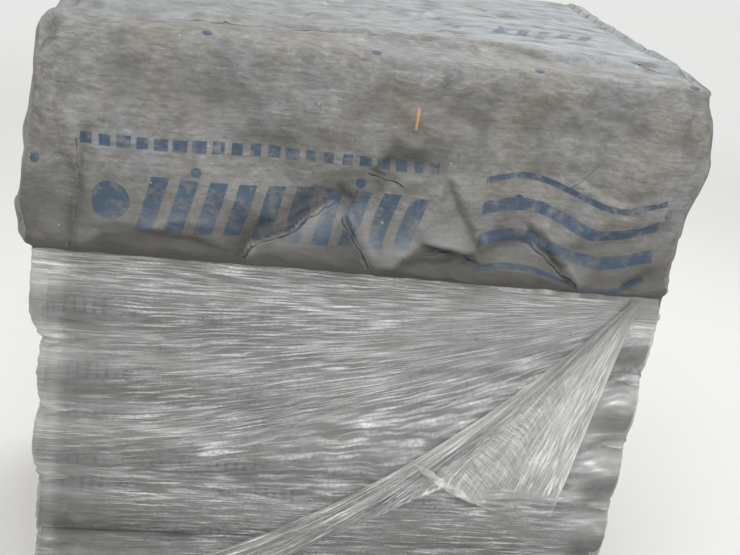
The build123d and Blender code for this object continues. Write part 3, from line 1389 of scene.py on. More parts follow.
    def sharp_folds(self) -> tuple[Fold, ...]:
        """The folds that show as thin painted lines of shade.

        Returns:
            The folds, in metres of cloth.
        """
        front = (
            (0.0022, ((-0.557, 1.174), (-0.562, 1.134), (-0.57, 1.028))),
            (0.0032, ((-0.57, 1.06), (-0.57, 1.028), (-0.569, 0.955))),
            (0.0034, ((-0.069, 1.104), (-0.141, 1.053), (-0.165, 1.033), (-0.236, 1.002), (-0.247, 0.973),
                      (-0.225, 0.95))),
            (0.0034, ((-0.024, 1.152), (0.04, 1.143))),
            (0.003, ((-0.068, 1.068), (-0.048, 1.044), (-0.024, 1.005), (-0.007, 0.967))),
            (0.0026, ((0.039, 0.967), (0.076, 1.006), (0.158, 1.014), (0.192, 1.006))),
            (0.0036, ((0.296, 1.055), (0.307, 1.05), (0.356, 1.017), (0.402, 0.98), (0.431, 0.942))),
            (0.003, ((0.484, 0.948), (0.576, 0.945))),
            (0.0018, ((0.361, 1.156), (0.424, 1.226))),
        )
        top = (
            (0.0036, ((-0.416, -0.379), (-0.247, -0.373), (-0.047, -0.353), (0.15, -0.317),
                      (0.29, -0.328))),
            (0.0026, ((0.29, -0.328), (0.43, -0.349), (0.581, -0.391))),
            (0.0034, ((-0.015, -0.111), (0.027, -0.177), (0.09, -0.301), (0.15, -0.317))),
            (0.004, ((0.598, -0.008), (0.606, -0.079), (0.602, -0.24), (0.575, -0.43))),
        )
        behind = self.load.half_depth + self.over_front
        folds = []
        for shift, group in ((self.front_zero, front), (behind, top)):
            folds += [Fold(tuple((x, up + shift) for x, up in path), width) for width, path in group]
        return tuple(folds)

    @staticmethod
    def _shades() -> list[Crease]:
        """Where an overhang keeps the front wall dark, left of each path, and lights its other side.

        Returns:
            The shades.
        """
        step, dent = Turn.STEP, Turn.DENT
        return [
            Crease(((-0.225, 0.95), (-0.247, 0.973), (-0.236, 1.002), (-0.165, 1.033), (-0.141, 1.053),
                    (-0.069, 1.104)), 1.0, 0.024, step),
            Crease(((-0.007, 0.967), (-0.024, 1.005), (-0.048, 1.044), (-0.068, 1.068)), 0.9, 0.024, step),
            Crease(((0.192, 1.006), (0.158, 1.014), (0.076, 1.006), (0.039, 0.967), (-0.01, 0.963)),
                   0.85, 0.034, step),
            Crease(((0.431, 0.942), (0.402, 0.98), (0.356, 1.017), (0.307, 1.05), (0.296, 1.055)),
                   0.75, 0.016, step),
            Crease(((-0.267, 1.022), (-0.381, 1.028), (-0.439, 1.001), (-0.509, 0.995), (-0.559, 0.955)),
                   0.55, 0.026, step),
            Crease(((-0.085, 1.122), (-0.069, 1.102), (-0.042, 1.087)), 1.0, 0.014, dent),
            Crease(((-0.02, 1.168), (0.04, 1.178), (0.096, 1.185)), 0.8, 0.014, dent),
            Crease(((-0.03, 1.152), (0.04, 1.143)), 0.7, 0.008, dent),
            Crease(((0.219, 1.067), (0.294, 1.053)), 0.6, 0.014, dent),
            Crease(((0.02, 0.95), (0.17, 0.956), (0.33, 0.952)), 0.55, 0.022, dent),
            Crease(((-0.571, 1.05), (-0.569, 0.95)), 0.8, 0.007, dent),
        ]

    def _paint_shades(self, hood: Piece) -> None:
        """Gives the front wall its dark undersides and lit facets.

        Args:
            hood: The hood.
        """
        points = read(hood.data.vertices, "co")
        side = self._around(points)[1]
        total = np.zeros(len(points))
        for crease in self._shades():
            lift = crease.lift(points[:, 0], points[:, 2])
            total = np.where(np.abs(lift) > np.abs(total), lift, total)
        total = np.where((side == Side.FRONT) & (points[:, 2] < self.shaded_below), total, 0)
        paint(hood, shade=np.clip(total, 0, 1), lit=np.clip(-total, 0, 1))

    def build(self, cloth: Material) -> Piece:
        """Makes the hood in place of its CAD node.

        Args:
            cloth: Its material.

        Returns:
            The hood.
        """
        hood = self._laid_form()
        self._settle(hood)
        # Painted shade where the creases sink, and painted sky light where the cloth faces up
        paint(hood, soil=self._crease(hood.data), open=self._open(hood.data))
        self._paint_shades(hood)
        hood.data.materials.append(cloth)
        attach(hood, "root")
        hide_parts("hood_sheet")
        return hood

    def _rings(self) -> Array:
        """Reads the fall at even steps of the way down the front.

        Returns:
            The rings, one a row.
        """
        fine = along_curve(np.array(self.fall), np.linspace(0, 1, 600))
        run = np.concatenate([[0], np.cumsum(np.hypot(np.diff(fine[:, 0]), np.diff(fine[:, 1])))])
        even = np.linspace(0, run[-1], round(run[-1] / self.spacing) + 1)
        return np.stack([np.interp(even, run, fine[:, k]) for k in range(fine.shape[1])], 1)

    def _laid_form(self) -> Piece:
        """Makes the sheet as it is first laid over the rolls, in coarse quads.

        Returns:
            The sheet.
        """
        load, bend = self.load, 3
        wide, deep = round(1.27 / self.spacing), round(0.96 / self.spacing)
        outline = Outline((wide, deep, wide, deep), bend)
        around = len(outline)
        path = self._rings()
        radius = np.interp(path[:, 0], (0.935, 1.02), (self.hem_radius, self.corner_radius))
        wall = outline.trace(load.half_length, load.half_depth, path[:, 1:], radius)
        height = np.repeat(path[:, :1], around, axis=1)
        corner = 4 * np.abs(outline.normal[:, 0] * outline.normal[:, 1]) / 2
        height = height - 0.016 * corner[None, :] * ease(1.25, 1.38, height)
        walls = np.concatenate([wall, height[..., None]], -1)
        top = self._top_grid(walls[0], wide, deep)
        border = self._border(wide, deep)
        points = np.vstack([top, walls[1:].reshape(-1, 3)])
        first = np.vstack([border, len(top) + np.arange(around)])
        collar = np.stack([first[0], first[1], np.roll(first[1], -1), np.roll(first[0], -1)], 1)
        skirt = strips(len(path) - 1, around, True)[:, [0, 3, 2, 1]] + len(top)
        lid = strips(deep + 1, wide + 1, False)
        faces = np.vstack([lid, collar, skirt])
        uv = self._cloth_coordinates(points, faces, len(lid), outline, path)
        points = self._undulate(points, faces)
        return make_piece("hood_cloth", points, faces, uv)

    @staticmethod
    def _border(wide: int, deep: int) -> Array:
        """The top grid's edge points, in the outline's order."""
        grid = np.arange((wide + 1) * (deep + 1)).reshape(deep + 1, wide + 1)
        return np.concatenate([grid[0, :-1], grid[:-1, -1], grid[-1, :0:-1], grid[:0:-1, 0]])

    @staticmethod
    def _top_grid(edge: Array, wide: int, deep: int) -> Array:
        """Fills the outline's top edge with a grid, from front left.

        Args:
            edge: The edge's points.
            wide: How many steps the grid has along the front.
            deep: How many it has from front to back.

        Returns:
            The grid's points.
        """
        closed = np.vstack([edge, edge[:1]])
        front, right = closed[: wide + 1], closed[wide: wide + deep + 1]
        back, left = closed[wide + deep: 2 * wide + deep + 1][::-1], closed[2 * wide + deep:][::-1]
        u, v = np.linspace(0, 1, wide + 1)[None, :, None], np.linspace(0, 1, deep + 1)[:, None, None]
        level = (1 - v) * front[None] + v * back[None]
        cross = (1 - u) * left[:, None] + u * right[:, None]
        near, far = (1 - u) * front[0] + u * front[-1], (1 - u) * back[0] + u * back[-1]
        return (level + cross - (1 - v) * near - v * far).reshape(-1, 3)

    def _cloth_coordinates(
        self, points: Array, faces: Array, lids: int, outline: Outline, path: Array
    ) -> Array:
        """Texture coordinates in metres of cloth, which run over the edges of the top without a break.

        Args:
            points: The sheet's points.
            faces: Its faces' point numbers.
            lids: How many of its faces are on the top.
            outline: The way round it.
            path: Its rings, from the top down.

        Returns:
            The coordinates of each face's corners.
        """
        drop = np.concatenate([[0], np.cumsum(np.hypot(np.diff(path[:, 0]), np.diff(path[:, 1])))])
        top_count = len(points) - (len(path) - 1) * len(outline)
        down = np.concatenate([np.zeros(top_count), np.repeat(drop[1:], len(outline))])
        x, y = points[:, 0], points[:, 1]
        front, right, back, left = path[0, 1:]
        shift = self.over_front
        edge_y, edge_x = self.load.half_depth, self.load.half_length
        sides = np.concatenate([np.full(lids, -1), np.tile(outline.side, len(path) - 1)])[:, None]
        u_of = {-1: x, 0: x, 1: edge_x + right + down, 2: x, 3: -edge_x - left - down}
        along = y + edge_y + shift
        v_of = {-1: along, 0: shift - front - down, 1: along, 2: 2 * edge_y + back + shift + down, 3: along}
        u = np.select([sides == k for k in u_of], [u_of[k][faces] for k in u_of])
        v = np.select([sides == k for k in v_of], [v_of[k][faces] for k in v_of])
        return np.stack([u, v], -1).reshape(-1, 2)

    def _around(self, points: Array) -> tuple[Array, Array]:
        """Finds places on the way round the load.

        Args:
            points: The places.

        Returns:
            How far round each is from the front left corner, and on which wall.
        """
        long, deep = self.load.half_length, self.load.half_depth
        x, y = np.clip(points[:, 0], -long, long), np.clip(points[:, 1], -deep, deep)
        end_on = np.abs(points[:, 0]) - long > np.abs(points[:, 1]) - deep
        side = np.where(end_on, np.where(points[:, 0] > 0, 1, 3), np.where(points[:, 1] < 0, 0, 2))
        starts = np.array([0, 2 * long, 2 * (long + deep), 4 * long + 2 * deep])[side]
        return starts + np.choose(side, [x + long, y + deep, long - x, deep - y]), side

    def _undulate(self, points: Array, faces: Array) -> Array:
        """Gives the laid sheet its broad waves.

        Args:
            points: The laid sheet's points.
            faces: Its faces' point numbers.

        Returns:
            The moved points.
        """
        walk, _ = self._around(points)
        x, y, z = points.T
        walls = np.abs(Drift(5)(walk * 3.1, z * 3.3 + 2)) * -0.014 + Drift(6)(walk * 7.0, z * 8.0) * 0.003
        calm = ease(0.946, 0.985, z) * ease(1.39, 1.36, z)
        lid = np.abs(Drift(15)(x * 3.0, y * 3.4)) * -0.012
        lid = lid * ease(1.378, 1.3935, z)
        hem = ease(0.94, 0.95, z) * ease(1.01, 0.965, z)
        wave = Drift(9)(walk * 6.0, walk * 0 + 1.5) * 0.006 + Drift(10)(walk * 19.0, walk * 0 + 4.5) * 0.0025
        moved = points + point_normals(points, faces) * (walls * calm + lid)[:, None]
        moved[:, 2] += hem * (wave - 0.002)
        return moved

    def _settle(self, form: Piece) -> None:
        """Lets the sheet settle on the rolls under its own weight, and refines it.

        Args:
            form: The laid sheet.
        """
        start = read(form.data.vertices, "co")
        held = form.vertex_groups.new(name="held")
        for number, height in enumerate(start[:, 2]):
            held.add([number], 1.0 if height < self.held_below else self.hold, "REPLACE")
        self._simulate(form)
        shift = read(form.data.vertices, "co") - start
        far = np.linalg.norm(shift, axis=1, keepdims=True)
        shift *= np.minimum(1, self.most_shift / np.maximum(far, 1e-9))
        form.data.vertices.foreach_set("co", (start + shift).reshape(-1))
        refine = form.modifiers.new("refine", "SUBSURF")
        refine.levels = refine.render_levels = 1
        self._apply(form)
        form.vertex_groups.clear()

    def _simulate(self, form: Piece) -> None:
        """Runs the cloth simulation on the sheet and keeps its last frame.

        Args:
            form: The laid sheet.
        """
        load = self.load
        half = np.array([load.half_length, load.half_depth, load.hood_top / 2])
        corners = np.array([(x, y, z) for z in (-1, 1) for y in (-1, 1) for x in (-1, 1)]) * half
        corners[:, 2] = np.where(corners[:, 2] > 0, load.hood_top - load.hood_loft - 0.004, 0.9)
        quads = [(0, 2, 3, 1), (4, 5, 7, 6), (0, 1, 5, 4), (2, 6, 7, 3), (0, 4, 6, 2), (1, 3, 7, 5)]
        block = make_piece("rolls_block", corners, np.array(quads), smooth=False)
        block.modifiers.new("block", "COLLISION")
        block.collision.thickness_outer = 0.002
        cloth = form.modifiers.new("settle", "CLOTH")
        manner = {"quality": 5, "mass": 0.05, "air_damping": 2, "shrink_min": -self.growth}
        manner |= {"tension_stiffness": 25, "compression_stiffness": 25, "shear_stiffness": 12}
        manner |= {"bending_stiffness": 0.6, "vertex_group_mass": "held", "pin_stiffness": 1}
        for name, value in manner.items():
            setattr(cloth.settings, name, value)
        cloth.collision_settings.distance_min = 0.002
        cloth.collision_settings.use_self_collision = False
        cloth.point_cache.frame_start, cloth.point_cache.frame_end = 1, self.frames
        for frame_number in range(1, self.frames + 1):
            bpy.context.scene.frame_set(frame_number)
        self._apply(form)
        bpy.context.scene.frame_set(1)
        bpy.data.objects.remove(block)

    @staticmethod
    def _apply(form: Piece) -> None:
        """Makes the piece's modifiers a part of its mesh.

        Args:
            form: The piece.
        """
        graph = bpy.context.evaluated_depsgraph_get()
        mesh = bpy.data.meshes.new_from_object(form.evaluated_get(graph), depsgraph=graph)
        form.modifiers.clear()
        old, form.data = form.data, mesh
        bpy.data.meshes.remove(old)

    def _crease(self, mesh: Mesh) -> Array:
        """Works creases into the settled sheet, clear of the rolls.

        Args:
            mesh: The sheet's mesh.

        Returns:
            How far each point sank, 0 to 1, which the cloth's material paints as shade.
        """
        points, normal = read(mesh.vertices, "co"), read(mesh.vertex_normals, "vector")
        walk, side = self._around(points)
        x, y, z = points.T
        depth = np.abs(Drift(7)(walk * 9.0 + z * 3.0, z * 9.0)) * -0.004
        for crease in crumple(21, 130, (0.0, 0.9), (4.5, 1.42), (0.05, 0.22), (0.0012, 0.0055)):
            depth += crease.lift(walk, z)
        for crease in self._front_creases():
            depth += np.where(side == Side.FRONT, crease.lift(x, z), 0)
        depth *= ease(0.944, 0.97, z) * ease(1.388, 1.365, z)
        lid = np.zeros(len(points))
        for crease in crumple(33, 110, (-0.6, -0.45), (0.6, 0.45), (0.06, 0.3), (0.0015, 0.0055)):
            lid += crease.lift(x, y)
        for crease in self._top_creases():
            lid += crease.lift(x, y)
        depth += lid * ease(1.368, 1.384, z)
        moved = self._keep_clear(points + normal * depth[:, None], side)
        mesh.vertices.foreach_set("co", moved.reshape(-1))
        mesh.update()
        return np.clip(-depth / 0.011, 0, 1)

    def _open(self, mesh: Mesh) -> Array:
        """Finds what faces the sky, behind the fold along the front, for the cloth's painted sky light.

        Args:
            mesh: The sheet's mesh.

        Returns:
            How much painted sky light each point gets, 0 to 1.
        """
        x, y, _ = read(mesh.vertices, "co").T
        fold = np.interp(x, (-0.42, 0.15, 0.58), (-0.379, -0.317, -0.391))
        behind = ease(fold - 0.05, fold + 0.02, y) * (0.45 + 0.55 * ease(-0.35, 0.35, x))
        return ease(0.35, 0.95, read(mesh.vertex_normals, "vector")[:, 2]) * behind * ease(0.622, 0.585, x)

    def _keep_clear(self, points: Array, side: Array) -> Array:
        """Moves what has sunk into the rolls out to their surface.

        Args:
            points: The sheet's points, which are moved.
            side: The wall that each is on.

        Returns:
            The points.
        """
        load = self.load
        wall = points[:, 2] < load.hood_top - load.hood_loft - 0.05
        limits = (load.half_depth, load.half_length)
        for number, (axis, sign) in enumerate(((1, -1), (0, 1), (1, 1), (0, -1))):
            reach = np.maximum(sign * points[:, axis], limits[number % 2] + self.clearance)
            points[:, axis] = np.where(wall & (side == number), sign * reach, points[:, axis])
        column = np.clip(np.round(points[:, 1] / load.pitch - 0.5), -3, 2) + 0.5
        off = points[:, 1] - column * load.pitch
        full = load.roll_diameter / 2 + self.clearance
        crown = load.middle(load.layers - 1) + np.sqrt(np.maximum(0, full**2 - off**2))
        above = (np.abs(points[:, 0]) < load.half_length) & ~wall
        points[:, 2] = np.where(above, np.maximum(points[:, 2], crown), points[:, 2])
        return points


@dataclass
class StretchFilm:
    """The film round the lower layers, drawn in between the rolls and wrinkled along them."""

    load: Load = LOAD
    counts: tuple[int, int, int, int] = (164, 64, 92, 64)
    rows: int = 206
    skin: float = 0.0028
    draw_in: float = 0.014
    left_puffs: tuple[float, ...] = (0.003, 0.003, 0.016, 0.012, 0.032)
    right_puffs: tuple[float, ...] = (0.004, 0.002, 0.002, 0.005, 0.004)
    web_reach: float = 0.062
    web_height: float = 0.018
    # Where the front's wrinkles draw together, below the loose end's root, by X and Z
    gather: Point = (0.57, 0.915)
    streak_count: int = 420
    seed: int = 41

    def _rows(self) -> Array:
        """The rows' heights, from the pallet to the upper edge."""
        return np.linspace(self.load.deck_top - self.load.board_thickness, self.load.film_top, self.rows)

    def _layer_share(self, z: Array) -> tuple[Array, Array]:
        """Which layer a height is in, and how far from its axis in half pitches.

        Args:
            z: Heights.

        Returns:
            The layer, and the distance, -1 to 1.
        """
        place = (z - self.load.stack_base) / self.load.pitch
        layer = np.clip(np.floor(place), 0, self.load.film_layers - 1).astype(int)
        return layer, np.clip((place - layer - 0.5) * 2, -1, 1)

    def _reach(self, z: Array) -> tuple[Array, Array]:
        """How far each wall stands off the rolls at each height, and how far it is drawn in.

        Args:
            z: Heights.

        Returns:
            Each wall's reach, one a column, and the draw-in.
        """
        load = self.load
        layer, off = self._layer_share(z)
        drawn = self.draw_in * (1 - np.sqrt(np.maximum(0, 1 - (0.86 * off) ** 2))) / 0.49
        drawn = np.minimum(drawn, self.draw_in * (0.72 + 0.12 * np.abs(off)))
        drawn = np.where((layer == load.film_layers - 1) & (off > 0), 0, drawn)
        lowest = load.middle(0)
        flare = ease(lowest, load.deck_top + 0.002, z) * (load.deck_margin - 0.0005)
        drawn = np.where(z < lowest, 0, drawn)
        front = self.skin - drawn + flare
        bow = np.sqrt(np.maximum(0, 1 - off**2))
        left = np.array(self.left_puffs)[layer] * bow
        right = np.array(self.right_puffs)[layer] * bow
        high = (layer == load.film_layers - 1) & (off > 0)
        left = np.where(high, self.left_puffs[-1] - 0.002 * off, left)
        right = np.where(z > load.stack_base + load.film_layers * load.pitch, 0.0, right)
        low = z < load.stack_base
        left, right = np.where(low, 0, left), np.where(low, 0, right)
        return np.stack([front, self.skin + right, front, self.skin + left], 1), drawn

    def build(self, film: Material) -> Piece:
        """Makes the film in place of its CAD node.

        Args:
            film: The film's material.

        Returns:
            The film.
        """
        load = self.load
        z = self._rows()
        reach, drawn = self._reach(z)
        outline = Outline(self.counts, 4)
        radius = 0.012 + 0.9 * drawn
        plan = outline.trace(load.half_length, load.half_depth, reach, radius)
        height = np.repeat(z[:, None], len(outline), axis=1)
        points = np.concatenate([plan, height[..., None]], -1)
        outward = np.concatenate([outline.normal, np.zeros((len(outline), 1))], 1)[None]
        walk = self._walk(outline)
        depth = self._streaks(walk, z) + self._ends(points, outline) + self._pinches(points, walk, outline)
        depth += self._bridge(points, outline) * drawn[:, None]
        points = points + outward * depth[..., None]
        faces = strips(self.rows, len(outline), True)
        uv = np.stack(np.broadcast_arrays(walk[None, :], z[:, None]), -1).reshape(-1, 2)
        corner_uv = uv[faces.reshape(-1)].reshape(-1, 4, 2)
        wrapped = corner_uv[:, 0, 0] - corner_uv[:, 1, 0] > 1
        corner_uv[wrapped, 1:3, 0] += self._length()
        piece = make_piece("film_wrap", points.reshape(-1, 3), faces, corner_uv.reshape(-1, 2))
        paint(piece, haze=self._haze(points, outline))
        paint(piece, calm=self._calm(points))
        paint(piece, dim=self._dim(points))
        paint(piece, glare=self._glare(points))
        paint(piece, level=self._levels(walk, z))
        piece.data.materials.append(film)
        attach(piece, "root")
        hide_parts("stretch_film")
        return piece

    @staticmethod
    def _bridge(points: Array, outline: Outline) -> Array:
        """Which share of the draw-in the film spans, as it does away from the front's ends.

        Args:
            points: The film's points.
            outline: The way round it.

        Returns:
            The share.
        """
        x, z = points[..., 0], points[..., 2]
        span = ease(-0.595, -0.46, x) * ease(0.595, 0.49, x) * (0.92 + 0.07 * Drift(56)(x * 3.0, z * 5.0))
        return np.where((outline.side == Side.FRONT)[None, :], span, 0)

    def _length(self) -> float:
        """How far it is round the load."""
        return 2 * self.load.roll_length + 4 * self.load.half_depth

    def _walk(self, outline: Outline) -> Array:
        """How far each point is round the load, from the front left corner.

        Args:
            outline: The way round it.

        Returns:
            The distances.
        """
        long, deep = self.load.roll_length, 2 * self.load.half_depth
        starts = np.array([0, long, long + deep, 2 * long + deep])
        runs = np.array([long, deep, long, deep])
        return starts[outline.side] + outline.share * runs[outline.side]

    def _above_gap(self, z: Array) -> Array:
        """How far each height is above the nearest gap between two layers."""
        place = (z - self.load.stack_base) / self.load.pitch
        return (place - np.round(place)) * self.load.pitch

    def _gap(self, z: Array) -> Array:
        """How far each height is from the nearest gap between two layers."""
        return np.abs(self._above_gap(z))

    def _web(self, points: Array) -> Array:
        """Where the film spans the mouth of a gap near the roll ends, as a triangle that points inwards.

        Args:
            points: The film's points.

        Returns:
            How much of it is at each point, 0 to 1.
        """
        x, z = points[..., 0], points[..., 2]
        into = np.clip(1 - (self.load.half_length - np.abs(x)) / self.web_reach, 0.02, 1)
        inside = (z > self.load.stack_base + 0.5 * self.load.pitch) & (z < self.load.film_top - 0.08)
        return np.where(inside, ease(1.0, 0.55, self._gap(z) / (self.web_height * into)), 0)

    def _haze(self, points: Array, outline: Outline) -> Array:
        """How much more opaque the film is where it lies in more turns or in folds, with painted light and
        shade in it: a lighter band over the upper part of each roll on the left, a painted highlight band
        on the right bulges, painted shade over the rolls' lower halves on the left, and less haze, so
        darker, towards the bottom.

        Args:
            points: The film's points.
            outline: The way round it.

        Returns:
            What comes on top.
        """
        x, z = points[..., 0], points[..., 2]
        top = 0.1 * ease(0.84, 0.89, z)
        near = self._near_front(points)
        left = 0.3 * ease(-0.56, -0.6, x) + 0.2 * ease(-0.6, -0.625, x)
        left = left * ease(0.16, 0.34, np.abs(points[..., 1]))
        left -= 0.03 * ease(-0.1, -0.4, x)
        right = 0.12 * ease(0.4, 0.6, x) * near
        low = -0.08 * ease(0.55, 0.25, z) - 0.08 * ease(0.36, 0.29, z)
        _, off = self._layer_share(z)
        shade = -0.09 * ease(0.1, -0.3, off) * ease(-1.0, -0.7, off) * ease(0.1, -0.3, x)
        patches = 0.08 * Drift(53)(x * 2.2, z * 7.0)
        front_back = np.isin(outline.side, (Side.FRONT, Side.BACK))[None, :]
        web = np.where(front_back & (x < 0), 0.16, 0.22) * self._web(points)
        gap = np.exp(-(((self._above_gap(z) - 0.02) / 0.017) ** 2)) * ease(0.88, 0.85, z)
        web += (0.18 + 0.1 * ease(0.3, 0.5, np.abs(x))) * gap * near
        # Painted light: a lighter band over the upper part of each roll on the left
        web += 0.13 * np.exp(-(((off - 0.66) / 0.22) ** 2)) * ease(-0.1, -0.4, x) * near
        # Painted highlight: a band over the upper part of each right bulge
        lap = 0.2 * ease(0.46, 0.57, x) * ease(0.02, 0.3, off) * ease(0.95, 0.6, off) * near
        return top + left + right + low + shade * near + patches + web + lap - 0.08 * (1 - near)

    @staticmethod
    def _near_front(points: Array) -> Array:
        """1 on the front and back walls, which falls to nought on the end walls."""
        return ease(0.34, 0.44, np.abs(points[..., 1]))

    def _dim(self, points: Array) -> Array:
        """The painted shade on the film: across each roll's middle, more on the left, just below the gaps,
        low on each roll's right end, over the left bulges, along the upper edge, towards the bottom and in
        a low patch right of the middle.

        Args:
            points: The film's points.

        Returns:
            The darkness, 0 to 1.
        """
        x, z = points[..., 0], points[..., 2]
        _, off = self._layer_share(z)
        low = ease(0.15, -0.25, off) * ease(-1.0, -0.8, off)
        under = np.exp(-((off / 0.34) ** 2)) * ease(0.9, 0.84, z)
        over = np.exp(-(((self._above_gap(z) + 0.004) / 0.015) ** 2)) * ease(0.9, 0.86, z)
        wander = 0.75 + 0.45 * Drift(60)(x * 5.0, z * 3.0)
        right = 0.74 * ease(0.5, 0.57, x) * low
        left = 0.26 * ease(-0.585, -0.622, x) + (0.1 + 0.62 * ease(0.05, -0.45, x)) * under * wander
        level = 0.22 * ease(0.872, 0.89, z) * ease(-0.5, -0.3, x) + 0.26 * ease(0.56, 0.4, z)
        corner = 0.3 * ease(0.05, 0.16, x) * ease(0.46, 0.4, x) * ease(0.4, 0.36, z)
        dark = right + left + 0.4 * over + level + corner
        return np.clip(dark, 0, 0.92) * self._near_front(points)

    def _glare(self, points: Array) -> Array:
        """Bright patches where the right bulges mirror the sky, and crinkles beside the gaps.

        Args:
            points: The film's points.

        Returns:
            The glare, 0 to 1.
        """
        x, z = points[..., 0], points[..., 2]
        _, off = self._layer_share(z)
        tilt = off - 0.32 + 1.2 * (x - 0.555)
        patch = ease(0.49, 0.545, x) * ease(0.622, 0.57, x) * np.exp(-((tilt / 0.19) ** 2))
        patch = patch * ease(-0.45, 0.3, Drift(57)(x * 17, z * 40))
        lines = ease(0.48, 0.55, x) * ease(0.036, 0.014, self._gap(z))
        lines = lines * ease(0.05, 0.45, Drift(58)(x * 9, z * 420))
        left = ease(-0.545, -0.59, x) * ease(0.15, 0.55, Drift(59)(x * 22, z * 330)) * self._web(points)
        bright = np.clip(patch + 0.85 * lines + 0.75 * left, 0, 1)
        return bright * ease(0.93, 0.9, z) * self._near_front(points)

    def _calm(self, points: Array) -> Array:
        """How smooth the film is, as it is where it bulges over the roll ends.

        Args:
            points: The film's points.

        Returns:
            The calm, 0 to 1.
        """
        x, z = points[..., 0], points[..., 2]
        ends = 0.62 * ease(-0.36, -0.58, x) * ease(0.9, 0.86, z) + 0.66 * ease(0.46, 0.57, x)
        _, off = self._layer_share(z)
        bands = 0.14 * ease(0.1, -0.3, off) * ease(-1.0, -0.7, off)
        return np.clip(ends + bands + 0.25 * Drift(55)(x * 3.0, z * 9.0), 0, 0.92)

    def _risen(self, level: Array, walk: Array) -> Array:
        """How high a wrinkle that leaves the front left corner at a level is, further round the load.

        Args:
            level: Heights at the corner.
            walk: Places on the way round.

        Returns:
            The heights there.
        """
        load = self.load
        long, deep = load.roll_length, 2 * load.half_depth
        over = self.gather[0] + load.half_length
        share = np.interp(walk, (0, over, long, long + deep), (0, 1, 1, 0)) ** 1.7
        return level + 0.9 * ease(0.38, 0.56, level) * (self.gather[1] - level) * share

    def _levels(self, walk: Array, z: Array) -> Array:
        """At which level each place's wrinkle left the front left corner."""
        starts = np.linspace(z[0], z[-1], 500)
        return np.stack([np.interp(z, self._risen(starts, place), starts) for place in walk], 1)

    def _streaks(self, walk: Array, z: Array) -> Array:
        """Long low wrinkles that run round the load and draw together at the loose end's root.

        Args:
            walk: Places on the way round.
            z: Heights.

        Returns:
            How far they stand out.
        """
        draw = np.random.default_rng(self.seed)
        depth = np.zeros((len(z), len(walk)))
        length = self._length()
        for _ in range(self.streak_count):
            middle, level = draw.uniform(0, length), draw.uniform(z[0], z[-1])
            reach, slope = draw.uniform(0.1, 0.5), draw.normal(0.0, 0.012)
            width, lift = draw.uniform(0.0026, 0.006), draw.uniform(0.0004, 0.0016)
            off = (walk - middle + length / 2) % length - length / 2
            window = np.clip(1 - (off / reach) ** 2, 0, 1) ** 1.5
            near = window > 0
            line = self._risen(level, walk[near]) + slope * off[near]
            depth[:, near] += lift * window[near] * np.exp(-(((z[:, None] - line) / width) ** 2))
        return depth

    def _ends(self, points: Array, outline: Outline) -> Array:
        """Hollows between the roll ends and over their bores, on the left and right walls.

        Args:
            points: The film's points.
            outline: The way round it.

        Returns:
            How far they stand out.
        """
        load = self.load
        y, z = points[..., 1], points[..., 2]
        column = np.clip(np.round(y / load.pitch - 0.5), -3, 2) + 0.5
        layer = np.clip(np.floor((z - load.stack_base) / load.pitch), 0, load.film_layers - 1)
        off = np.hypot(y - column * load.pitch, z - load.middle(0) - layer * load.pitch)
        at_end = np.isin(outline.side, (Side.RIGHT, Side.LEFT))[None, :]
        inner = np.clip(1 - (np.abs(y) / (load.half_depth - 0.01)) ** 8, 0, 1)
        calm = ease(0.876, 0.835, z) * ease(0.14, 0.2, z)
        hollow = -0.011 * ease(0.074, 0.104, off) - 0.0022 * ease(0.044, 0.018, off)
        ripple = 0.0012 * Drift(50)(y * 16, z * 60)
        return np.where(at_end, (hollow * inner + ripple) * calm, 0)

    def _pinches(self, points: Array, walk: Array, outline: Outline) -> Array:
        """Crinkles where the film is pulled in between two rolls, and the upper edge's small waves.

        Args:
            points: The film's points.
            walk: Places on the way round.
            outline: The way round it.

        Returns:
            How far they stand out.
        """
        load = self.load
        x, z = points[..., 0], points[..., 2]
        place = (z - load.stack_base) / load.pitch
        near_end = np.exp(-(load.half_length - np.abs(x)) / 0.07)
        front_back = np.isin(outline.side, (Side.FRONT, Side.BACK))[None, :]
        waves = np.sin(walk[None, :] * 300 + 3 * Drift(51)(walk[None, :] * 8, z * 8))
        crinkle = 0.0012 * near_end * np.exp(-self._gap(z) / 0.016) * waves
        web = self.draw_in * 0.5 * self._web(points)
        hem = 0.0028 * Drift(52)(walk[None, :] * 24 + 0 * z, z * 9)
        hem = np.maximum(hem * ease(0.86, 0.9, z) * ease(0.943, 0.93, z), -0.0004)
        inside = (place > 0.6) & (place < load.film_layers)
        return np.where(front_back & inside, crinkle + web, 0) + hem


